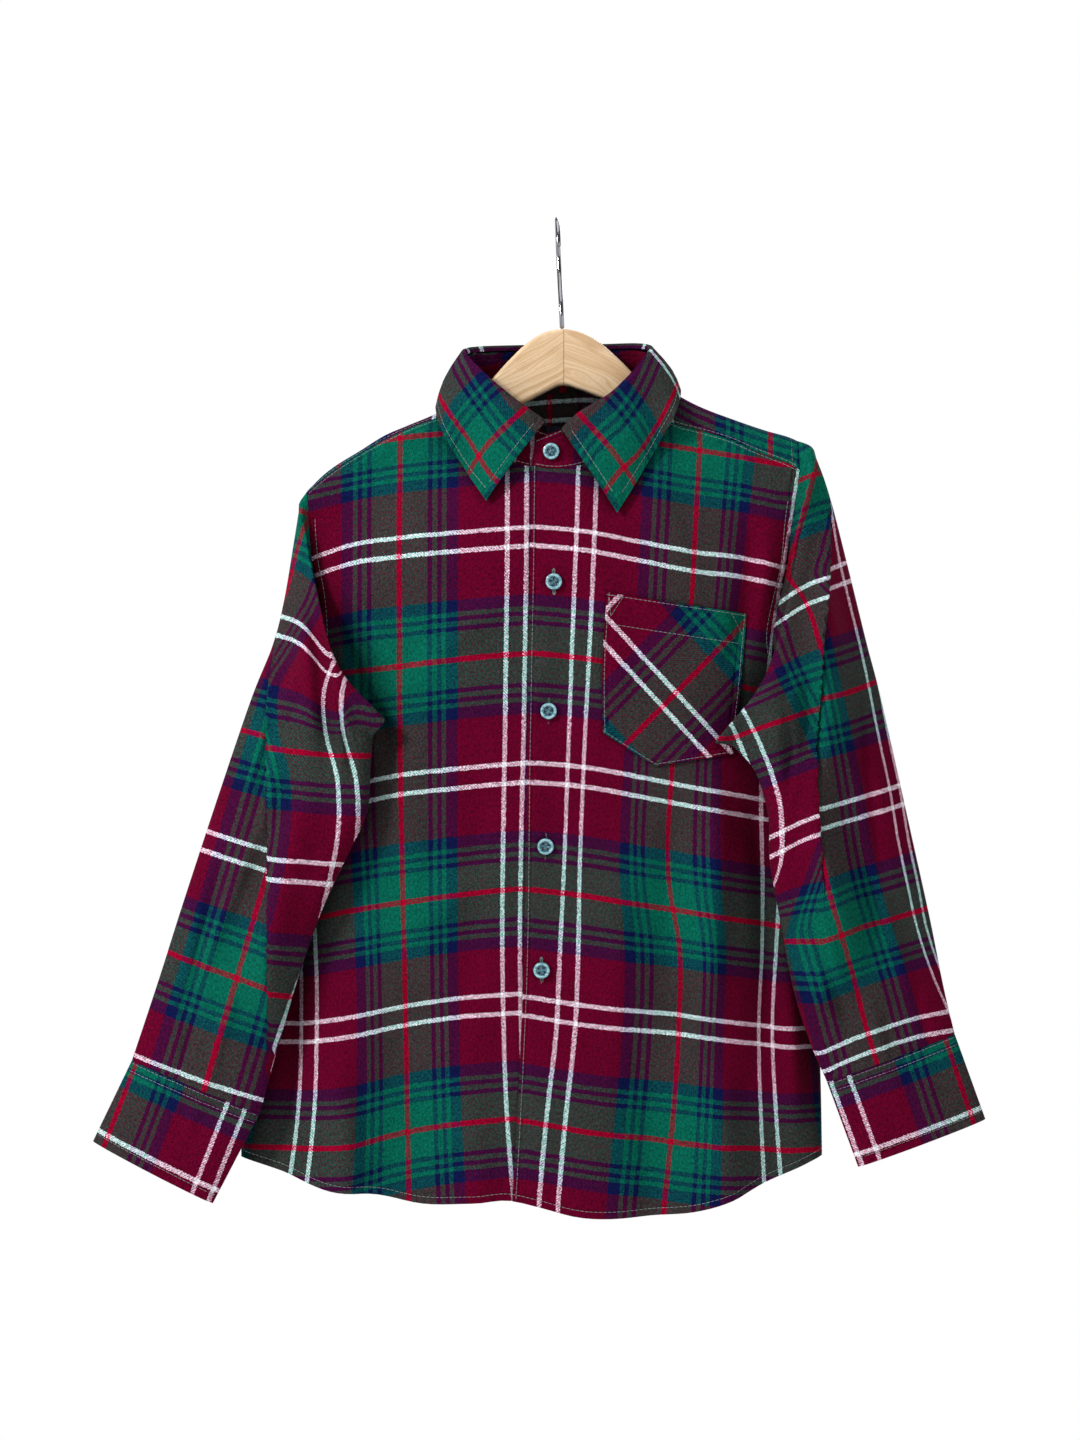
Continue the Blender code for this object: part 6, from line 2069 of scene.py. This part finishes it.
@dataclass(frozen=True)
class Groups:
    """The node groups of the cloth."""

    fray: float = 1.8            # how far single yarns carry a band's edge into the next
    waver: float = 0.9           # how far the bands wander
    rib: float = 1.9             # from rib to rib of the twill
    grit: float = 5.5            # how much the uneven yarn breaks up the ribs
    weft_share: tuple[float, float] = (0.24, 0.78)   # least and most of the weft that shows
    lead: float = 0.27           # by how much more of the brighter yarn shows
    nap_gamma: float = 0.66      # napped yarns mix darker than light does
    browned: tuple[float, ...] = (0.78, 0.77, 0.7, 1.0)

    def new(self, name: str, inputs: dict[str, str], outputs: dict[str, str]
            ) -> tuple[Graph, dict[str, Value], bpy.types.Node]:
        """An empty group.

        Args:
            name: the group's name.
            inputs: the kind of each input by its name.
            outputs: the kind of each output by its name.

        Returns:
            Its graph, what its inputs give, and the node that takes its outputs.
        """
        tree = bpy.data.node_groups.new(name, "ShaderNodeTree")
        for way, sockets in (("INPUT", inputs), ("OUTPUT", outputs)):
            for socket, kind in sockets.items():
                tree.interface.new_socket(socket, in_out=way, socket_type=f"NodeSocket{kind}")
        graph = Graph(tree)
        given = graph.node("NodeGroupInput").outputs
        starts = {socket: Value(graph, given[socket]) for socket in inputs}
        return graph, starts, graph.node("NodeGroupOutput")

    def yarns(self, graph: Graph, cloth: Value) -> list[Value]:
        """The colours of the warp and of the weft yarn.

        Args:
            graph: the group's graph.
            cloth: the place in the cloth, in millimetres.

        Returns:
            The warp's colour and the weft's.
        """
        x, y, _ = graph.apart(cloth)
        frayed = (graph.noise(cloth, 0.8, 2.0, 0.7) - 0.5) * self.fray
        along_weft = (graph.noise(cloth, 0.22, 1.0) - 0.5) * self.waver + x + frayed
        mirrored = graph.scaled(cloth, (1.0, -1.0, 0.0))
        along_warp = (graph.noise(mirrored, 0.19, 1.0) - 0.5) * self.waver + y + frayed
        starts = [0.0] + [end / HALF_SETT for end, _ in SETT]
        stops = [(start, yarn.value) for start, (_, yarn) in zip(starts, SETT)]
        return [graph.steps(graph.math("PINGPONG", way, HALF_SETT) * (1.0 / HALF_SETT), stops)
                for way in (along_weft, along_warp)]

    def tartan(self) -> bpy.types.NodeTree:
        """Twill-woven tartan, brushed: colour and height from a place in the cloth in metres.

        Returns:
            The group, which turns Cloth into Color and Height.
        """
        graph, given, out = self.new(
            "TartanTwill", {"Cloth": "Vector"}, {"Color": "Color", "Height": "Float"})
        cloth = graph.flat_mm(given["Cloth"])
        x, y, _ = graph.apart(cloth)
        ribs = graph.wave(x + y, self.rib)
        grit = (graph.noise(cloth, 0.75, 2.0, 0.75) - 0.5) * self.grit
        on_top = graph.remap(grit + ribs * 0.5, -1.15, 1.0)
        yarns = self.yarns(graph, cloth)
        warp_bright, weft_bright = (graph.hsv(yarn)[2] for yarn in yarns)
        share = graph.math("ADD", graph.remap(on_top, 0.0, 1.0, *self.weft_share, "LINEAR"),
                           (weft_bright - warp_bright) * self.lead, clamp=True)
        roots = [graph.gamma(yarn, self.nap_gamma) for yarn in yarns]
        weave = graph.gamma(graph.blend(share, *roots), 1.0 / self.nap_gamma)
        # Where white yarn shows, the yarn below it tints it, and green over burgundy goes brown
        _, strength, value = graph.hsv(weave)
        weave = graph.out("ShaderNodeHueSaturation", 0, {
            "Color": weave, "Saturation": graph.remap(value, 0.18, 0.5, 1.0, 2.5)})
        dull = graph.remap(strength, 0.5, 0.85, 1.0, 0.0) * graph.remap(value, 0.12, 0.25, 1.0, 0.0)
        weave = graph.blend(dull, weave, self.browned, "MULTIPLY")
        nap = graph.noise(graph.scaled(cloth, (1.0, 0.7, 0.0)), 0.65, 3.0, 0.75)
        cloudy = graph.remap(graph.noise(cloth, 0.035, 2.0), 0.3, 0.7, 0.94, 1.06, "LINEAR")
        shaded = graph.shaded(weave, graph.remap(nap, 0.3, 0.7, 0.44, 1.56, "LINEAR") * cloudy)
        fuzz = graph.remap(graph.noise(cloth, 1.7, 3.0, 0.7), 0.56, 0.72, 0.0, 0.05)
        graph.feed(out.inputs["Color"], graph.blend(fuzz, shaded, srgb(176, 170, 184)))
        graph.feed(out.inputs["Height"], ribs * 0.25 + nap * 1.3)
        return graph.tree

    def pucker(self) -> bpy.types.NodeTree:
        """The shallow channel of a stitched row and the puckers beside it.

        Returns:
            The group, which turns Borders, the ways to them, Cloth and Row into Height.
        """
        graph, given, out = self.new(
            "SeamPucker", {"Borders": "Vector", "Cloth": "Vector", "Row": "Float"}, {"Height": "Float"})
        wander = graph.noise(graph.flat_mm(given["Cloth"]), 0.16, 1.0) - 0.5
        heights = []
        for way in graph.apart(graph.flat_mm(given["Borders"]))[:2]:
            channel = graph.remap(graph.math("ABSOLUTE", way - given["Row"]), 0.0, 1.5, 1.0, 0.0)
            near = graph.remap(way, 3.0, 13.0, 1.0, 0.0)
            heights.append(wander * (near * 3.0) - channel * 0.55)
        graph.feed(out.inputs["Height"], heights[0] + heights[1])
        return graph.tree


class Materials:
    """All the materials, each made once."""

    def __init__(self) -> None:
        """Make every material."""
        self.made = {
            "flannel": self.flannel(), "thread": self.thread("thread", srgb(150, 160, 158)),
            "button_thread": self.thread("button_thread", srgb(118, 142, 138)),
            # Near-black thread in the button holes: painted shade of the holes
            "hole_thread_painted_shade": self.thread("hole_thread_painted_shade", srgb(8, 22, 32)),
            "label": self.label(), "button": self.button(), "beech": self.beech(),
            "hook_wire": self.wire(), "floor": self.floor(),
        }

    def __getitem__(self, name: str) -> bpy.types.Material:
        """The material of a name."""
        return self.made[name]

    @staticmethod
    def start(name: str, finish: Finish, **constants: float
              ) -> tuple[bpy.types.Material, Graph, bpy.types.Node]:
        """A new material with the finish's constants set on its surface shader.

        Args:
            name: the material's name.
            finish: its constants.
            constants: further sockets of the shader, with _ for a space.

        Returns:
            The material, its graph and its surface shader.
        """
        material = bpy.data.materials.new(name)
        material.use_nodes = True
        shader = material.node_tree.nodes["Principled BSDF"]
        sockets = {"Roughness": finish.roughness, "Specular IOR Level": finish.specular,
                   "Sheen Weight": finish.sheen, "Coat Weight": finish.coat, "Metallic": finish.metallic}
        sockets.update({socket.replace("_", " "): value for socket, value in constants.items()})
        for socket, value in sockets.items():
            shader.inputs[socket].default_value = value
        return material, Graph(material.node_tree), shader

    @staticmethod
    def bump(graph: Graph, shader: bpy.types.Node, height: Value, distance: float,
             strength: float) -> None:
        """Feed a height in shares of the distance into the shader's normal."""
        graph.feed(shader.inputs["Normal"], graph.out("ShaderNodeBump", "Normal", {
            "Height": height, "Distance": distance, "Strength": strength}))

    def flannel(self) -> bpy.types.Material:
        """The brushed tartan, with painted shade where cloth lies close over cloth.

        Returns:
            The material, which needs the maps "cloth" and "border".
        """
        material, graph, shader = self.start("flannel_tartan", FINISHES["flannel"], Sheen_Roughness=0.45)
        groups, cloth = Groups(), graph.uv("cloth")
        color, height = graph.parts("ShaderNodeGroup", {"Cloth": cloth}, node_tree=groups.tartan())
        seams = graph.out("ShaderNodeGroup", "Height", {
            "Borders": graph.uv("border"), "Cloth": cloth, "Row": 4.6}, node_tree=groups.pucker())
        # Painted shade: ambient occlusion darkens the base colour where cloth lies close over cloth
        occlusion_for_shade = graph.out("ShaderNodeAmbientOcclusion", "AO", {"Distance": 0.05}, samples=4)
        painted_occlusion_shade = graph.remap(occlusion_for_shade, 0.3, 0.95, 0.32, 1.0, "LINEAR")
        graph.feed(shader.inputs["Base Color"], graph.shaded(color, painted_occlusion_shade))
        broad = graph.noise(graph.flat_mm(cloth), 0.045, 2.0)
        self.bump(graph, shader, height * 0.28 + seams + broad * 3.2, 0.0009, 0.85)
        return material

    def thread(self, name: str, color: tuple) -> bpy.types.Material:
        """Sewing thread with a slight twist in tone.

        Args:
            name: the material's name.
            color: the thread's lighter tone.

        Returns:
            The material.
        """
        material, graph, shader = self.start(name, FINISHES["thread"])
        at = graph.surface()
        dark = tuple(value * 0.72 for value in color[:3]) + (1.0,)
        graph.feed(shader.inputs["Base Color"], graph.blend(graph.noise(at, 1600.0, 2.0), dark, color))
        self.bump(graph, shader, graph.noise(at, 5200.0, 1.0), 0.0001, 0.5)
        return material

    def label(self) -> bpy.types.Material:
        """Woven satin ribbon.

        Returns:
            The material.
        """
        material, graph, shader = self.start("label_satin", FINISHES["label"])
        x, _, z = graph.apart(graph.surface())
        both = graph.wave(x, 0.0009) * 0.4 + graph.wave(z, 0.0005)
        graph.feed(shader.inputs["Base Color"], graph.blend(
            graph.remap(both, -1.2, 1.2), srgb(14, 18, 40), srgb(34, 42, 78)))
        self.bump(graph, shader, both, 0.00008, 0.6)
        return material

    def button(self) -> bpy.types.Material:
        """Teal pearl with soft layered clouds and a pale rim, with painted shade darkening the dish, a
        painted shadow at the outer edge and pale streaks of painted sheen.

        Returns:
            The material, which needs the attribute "from_middle".
        """
        material, graph, shader = self.start("button_pearl", FINISHES["button"], Coat_Roughness=0.12)
        at = graph.surface()
        layers = graph.noise(graph.scaled(at, (1.0, 1.0, 2.6)), 260.0, 3.0, 0.6)
        # Painted shade: the dish is coloured darker than the rim for the shade in its hollow
        shaded_dish = graph.blend(graph.remap(layers, 0.36, 0.64), srgb(24, 66, 86), srgb(62, 122, 142))
        rim = graph.blend(graph.remap(layers, 0.36, 0.64), srgb(96, 156, 174), srgb(176, 222, 230))
        out = graph.out("ShaderNodeAttribute", "Fac", attribute_name="from_middle")
        pearl_painted_shade = graph.blend(graph.remap(out, 0.6, 0.72), shaded_dish, rim)
        # Painted shadow: the outer edge darkens towards near black
        pearl_painted_shade = graph.blend(graph.remap(out, 0.9, 1.0, 0.0, 0.8), pearl_painted_shade, srgb(10, 34, 46))
        # Painted sheen: pale streaks blended over the pearl
        painted_sheen = graph.remap(graph.noise(graph.scaled(at, (2.2, 1.0, 1.0)), 420.0, 2.0), 0.56, 0.68)
        graph.feed(shader.inputs["Base Color"], graph.blend(painted_sheen * 0.4, pearl_painted_shade, srgb(160, 206, 214)))
        graph.feed(shader.inputs["Roughness"], graph.remap(layers, 0.3, 0.7, 0.16, 0.3, "LINEAR"))
        return material

    def beech(self) -> bpy.types.Material:
        """Lacquered beech: long grain, short flecks, darker patches and the glued joint.

        Returns:
            The material, which needs the map "grain".
        """
        material, graph, shader = self.start("beech_lacquered", FINISHES["beech"], Coat_Roughness=0.25)
        plank = graph.flat_mm(graph.uv("grain"))
        along_plank, across, _ = graph.apart(plank)
        lines = graph.noise(graph.scaled(plank, (0.012, 0.05, 0.0)), 1.0, 2.0) * 26.0 + across
        rings = graph.noise(graph.together(along_plank * 0.006, lines, 0.0), 0.55, 3.0, 0.6)
        flecks = graph.noise(graph.scaled(plank, (0.35, 2.6, 0.0)), 1.0, 2.0, 0.6)
        patches = graph.noise(graph.scaled(plank, (0.02, 0.07, 0.0)), 1.0, 2.0)
        wood = graph.blend(graph.remap(rings, 0.36, 0.66), srgb(242, 212, 173), srgb(218, 179, 132))
        wood = graph.blend(graph.remap(patches, 0.5, 0.72, 0.0, 0.55), wood, srgb(190, 140, 88))
        wood = graph.blend(graph.remap(flecks, 0.6, 0.74, 0.0, 0.6), wood, srgb(158, 108, 66))
        from_joint = graph.math("ABSOLUTE", graph.apart(graph.surface())[0] - HANGER_MIDDLE * MM)
        joint = graph.remap(from_joint, 0.00012, 0.00032, 1.0, 0.0)
        graph.feed(shader.inputs["Base Color"], graph.blend(joint * 0.75, wood, srgb(112, 70, 40)))
        graph.feed(shader.inputs["Roughness"], graph.remap(rings, 0.3, 0.7, 0.36, 0.5, "LINEAR"))
        self.bump(graph, shader, flecks * -0.4 - joint * 1.4, 0.0001, 0.6)
        return material

    def wire(self) -> bpy.types.Material:
        """Bright nickel-plated steel, faintly uneven.

        Returns:
            The material.
        """
        material, graph, shader = self.start("hook_nickel", FINISHES["hook_wire"])
        at = graph.surface()
        graph.feed(shader.inputs["Base Color"], graph.blend(
            graph.noise(at, 60.0, 2.0), srgb(176, 175, 180), srgb(146, 145, 150)))
        fine = graph.noise(at, 900.0, 3.0, 0.65)
        graph.feed(shader.inputs["Roughness"], graph.remap(fine, 0.3, 0.7, 0.1, 0.24, "LINEAR"))
        return material

    def floor(self) -> bpy.types.Material:
        """The pale studio floor.

        Returns:
            The material.
        """
        material, graph, shader = self.start("studio_floor", FINISHES["floor"])
        graph.feed(shader.inputs["Base Color"], graph.blend(
            graph.noise(graph.surface(), 3.0, 2.0), srgb(248, 248, 248), srgb(252, 252, 252)))
        return material


# ---- the dressed shirt

@dataclass(frozen=True)
class Cut:
    """A piece's flat cut before it was sewn: width and length, and its area, in metres."""

    width: float
    length: float
    area: float


@dataclass
class Shirt:
    """The whole shirt on its hanger."""

    materials: Materials
    panels: dict[str, Panel] = field(default_factory=dict)
    pieces: dict[str, bpy.types.Object] = field(default_factory=dict)
    button_size: float = 11.2
    cuff_button_size: float = 10.5
    button_gap: float = 0.4
    button_turn: float = 0.35    # from button to button, in radians
    front_hole: float = 15.0     # lengths of the buttonholes
    cuff_hole: float = 13.5
    cuff_tail: int = 14          # columns of a cuff's over end

    SLOTS = {"neck_label": "label"}
    RESTS = {"pocket": "front_left"}     # all others rest on the hanger

    def cut_panels(self) -> None:
        """Work out every panel of the shirt and the normals that they share."""
        body, collar, patches = Body(), Collar(), Patches()
        left, right = body.front("left"), body.front("right")
        back, yoke = body.back(), body.yoke()
        panels = [left, right, back, yoke, collar.stand(left, right, yoke), collar.leaf(),
                  patches.pocket(), patches.label()]
        for hand, front in (("left", left), ("right", right)):
            edge = yoke.grid[0] if hand == "left" else yoke.grid[-1]
            top = int(np.argmax(edge[:, 2]))
            behind = back.grid[0] if hand == "left" else back.grid[-1]
            sleeve = Sleeve(hand,
                            np.concatenate([edge[top::-1], front.grid[-1, 1:ARM_ROWS + 1]]),
                            np.concatenate([edge[top:], behind[1:BACK_ARM_ROWS + 1]]))
            panels += [sleeve.panel(), sleeve.cuff()]
        share_normals(panels)
        self.panels = {panel.name: panel for panel in panels}

    def add(self, made: bpy.types.Object, material: str, slot: str, *nodes: str) -> bpy.types.Object:
        """Give a piece its material and its place in the frame.

        Args:
            made: the piece.
            material: its material's name.
            slot: not used.
            nodes: the solids' nodes that it stands for.

        Returns:
            The piece.
        """
        made.data.materials.clear()
        made.data.materials.append(self.materials[material])
        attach(made, "root")
        if nodes:
            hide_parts(*nodes)
        self.pieces[made.name] = made
        return made

    def sew(self) -> None:
        threads = {}
        for name, panel in self.panels.items():
            slot = self.SLOTS.get(name, "flannel")
            made = self.add(cloth_object(panel), slot, slot, name)
            LOG.info("%s: %d faces", made.name, len(made.data.polygons))
            stitcher = Stitcher(f"{name}_stitches").seams(panel, SEAMS.get(name, ()))
            if name == "pocket":
                self.tack_pocket(stitcher)
            if stitcher.count:
                threads[name] = self.add(stitcher.object(), "thread", slot)
        for name, cut in CUTS.items():
            along_with = [threads[name]] if name in threads else []
            if name == "yoke":
                along_with += [self.pieces["neck_label_cloth"], threads["neck_label"]]
            LOG.info("%s: %.4f square metres, cut %.4f", name, self.area(self.panels[name]), cut.area)

    @staticmethod
    def area(panel: Panel) -> float:
        """The panel's area in square metres."""
        across, down = np.diff(panel.grid, axis=0), np.diff(panel.grid, axis=1)
        faces = np.cross(across[:, :-1] + across[:, 1:], down[:-1] + down[1:]) / 4.0
        return float(np.linalg.norm(faces, axis=-1).sum()) * MM * MM

    def tack_pocket(self, stitcher: Stitcher) -> None:
        """The small stitched boxes that hold the pocket's mouth at its corners.

        Args:
            stitcher: takes the stitches.
        """
        panel = self.panels["pocket"]
        for corner, run in ((np.array([34.2, -252.4]), 1.0), (np.array([124.8, -265.6]), -1.0)):
            rise = -1.4 if run > 0 else 1.4
            box = np.array([(0.0, 0.0), (9.0 * run, rise), (1.0 * run, -14.0)]) + corner
            stitcher.bar_tack(lambda at: point_on(panel, at[0], at[1]), box)

    def button_up(self) -> None:
        """The buttons, their thread, and the buttonholes of the over front and the cuffs."""
        lift = CLOTH / 2.0 + self.button_gap
        holes = Stitcher("buttonhole_stitches")
        for number, (x, z) in enumerate(BUTTONS, start=1):
            panel = self.panels["collar_stand" if number == 1 else "front_left"]
            if number == 1:
                panel = panel.tail(NECK_COLUMNS)
            point, normal = point_on(panel, x, z)
            self.fasten(f"button_{number}", point + normal * lift, normal, self.button_size,
                        self.button_turn * number)
            if number > 1:
                face = point + normal * CLOTH / 2.0
                holes.buttonhole(face, np.array([0.02, 0.0, -1.0]), normal, self.front_hole, True)
        for hand in ("left", "right"):
            panel = self.panels[f"cuff_{hand}"]
            x, z = CUFF_BUTTONS[hand]
            tail = panel.tail(self.cuff_tail)
            point, normal = point_on(tail, x, z)
            self.fasten(f"button_cuff_{hand}", point + normal * lift, normal, self.cuff_button_size, 0.2)
            run = tail.grid[-1, CUFF_ROWS // 2] - tail.grid[-6, CUFF_ROWS // 2]
            holes.buttonhole(point + normal * CLOTH / 2.0, run, normal, self.cuff_hole, False)
        self.add(holes.object(), "button_thread", "flannel")

    def fasten(self, name: str, place: Array, normal: Array, size: float, turn: float) -> None:
        """One button with its thread.

        Args:
            name: the button's node.
            place: the middle of its back.
            normal: where its face looks.
            size: its width.
            turn: how far it is turned on the cloth, in radians.
        """
        button = Button(name, place, normal, size, turn)
        self.add(button.build(), "button", "button", name)
        stitcher = Stitcher(f"{name}_thread")
        shank = Stitcher(f"{name}_shank")
        button.thread(stitcher, shank)
        self.add(stitcher.object(), "button_thread", "button")
        # The thread in the holes is near black: painted shade of the holes
        self.add(shank.object(), "hole_thread_painted_shade", "button")

    def hang(self) -> None:
        """The hanger and its hook."""
        hanger = Hanger()
        self.add(hanger.body(), "beech", "beech", "hanger_body")
        self.add(hanger.hook(), "hook_wire", "hook_wire", "hanger_hook")


CUFF_BUTTONS = {"right": (-270.35, -601.85), "left": (242.44, -585.1)}

# Flat cuts of what shows, without seam allowances
CUTS = {
    "front_right": Cut(0.228, 0.550, 0.100), "front_left": Cut(0.230, 0.555, 0.100),
    "back": Cut(0.420, 0.462, 0.166), "yoke": Cut(0.370, 0.150, 0.0290),
    "collar_stand": Cut(0.310, 0.038, 0.0091), "collar": Cut(0.345, 0.072, 0.0185),
    "pocket": Cut(0.096, 0.112, 0.0094),
    "sleeve_right": Cut(0.270, 0.445, 0.0860), "sleeve_left": Cut(0.270, 0.445, 0.0860),
    "cuff_right": Cut(0.205, 0.064, 0.0125), "cuff_left": Cut(0.205, 0.064, 0.0125),
}


# ---- studio

@dataclass(frozen=True)
class Studio:
    """Floor, lights and camera."""

    materials: Materials
    floor_at: float = -1.0
    camera_at: tuple[float, float, float] = (-0.0116, -2.53, -0.3352)
    lens: float = 94.0

    def floor(self) -> None:
        """A plain round floor."""
        mesh = bmesh.new()
        bmesh.ops.create_circle(mesh, cap_ends=True, radius=0.94, segments=96,
                                matrix=Matrix.Translation((0.0, 0.0, self.floor_at)))
        made = mesh_object("studio_floor", mesh)
        made.data.materials.append(self.materials["floor"])
        made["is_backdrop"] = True

    @staticmethod
    def light(name: str, place: tuple, target: tuple, size: float, power: float) -> None:
        """A soft square light.

        Args:
            name: its name.
            place: where it stands, in metres.
            target: what it faces.
            size: its width.
            power: in watts.
        """
        data = bpy.data.lights.new(name, "AREA")
        data.shape, data.size, data.energy = "SQUARE", size, power
        made = bpy.data.objects.new(name, data)
        made.location = place
        made.rotation_mode = "QUATERNION"
        made.rotation_quaternion = (Vector(target) - Vector(place)).to_track_quat("-Z", "Y")
        bpy.context.scene.collection.objects.link(made)

    def lights(self) -> None:
        """A high key light, a weaker fill, and light from behind and above for the floor."""
        middle = (0.0, 0.0, -0.35)
        self.light("key", (-1.9, -1.5, 1.1), middle, 0.5, 58.0)
        self.light("fill", (1.7, -1.5, 0.0), middle, 1.3, 3.4)
        self.light("back", (0.5, 1.7, 0.9), middle, 1.2, 20.0)
        self.light("overhead", (0.0, 0.0, 1.9), (0.0, 0.0, -1.0), 2.4, 24.0)

    @staticmethod
    def world() -> None:
        """White at eye height, a little darker before the shirt and below it, and dim overhead."""
        world = bpy.context.scene.world or bpy.data.worlds.new("studio")
        bpy.context.scene.world = world
        world.use_nodes = True
        graph = Graph(world.node_tree)
        back = world.node_tree.nodes.get("Background") or graph.node("ShaderNodeBackground")
        _, depth, height = graph.apart(graph.out("ShaderNodeTexCoord", "Generated"))
        below = graph.remap(height, -0.42, -0.22, 0.0, 1.0)
        level = graph.blend(graph.remap(depth, 0.1, 0.7), (0.68, 0.68, 0.68, 1.0), (1.0, 1.0, 1.0, 1.0))
        pale = graph.blend(below, (0.6, 0.6, 0.6, 1.0), level)
        overhead = graph.remap(height, 0.22, 0.36)
        graph.feed(back.inputs["Color"], graph.blend(overhead, pale, (0.1, 0.1, 0.105, 1.0)))
        back.inputs["Strength"].default_value = 1.0

    def camera(self) -> None:
        """The camera in front of the shirt."""
        data = bpy.data.cameras.new("camera")
        data.lens, data.sensor_width = self.lens, 36.0
        made = bpy.data.objects.new("camera", data)
        made.location = self.camera_at
        made.rotation_euler = (math.pi / 2.0, 0.0, 0.0)
        bpy.context.scene.collection.objects.link(made)
        bpy.context.scene.camera = made

    def build(self) -> None:
        """Everything that isn't part of the object."""
        self.camera()
        self.floor()
        self.lights()
        self.world()
        bpy.context.scene.view_settings.view_transform = "Standard"


def main() -> None:
    """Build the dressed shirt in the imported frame."""
    logging.basicConfig(level=logging.INFO, format="%(message)s")
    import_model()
    before = [corner.copy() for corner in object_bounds()]
    materials = Materials()
    Studio(materials).build()
    shirt = Shirt(materials)
    shirt.cut_panels()
    shirt.sew()
    shirt.button_up()
    shirt.hang()


if __name__ == "__main__":
    main()
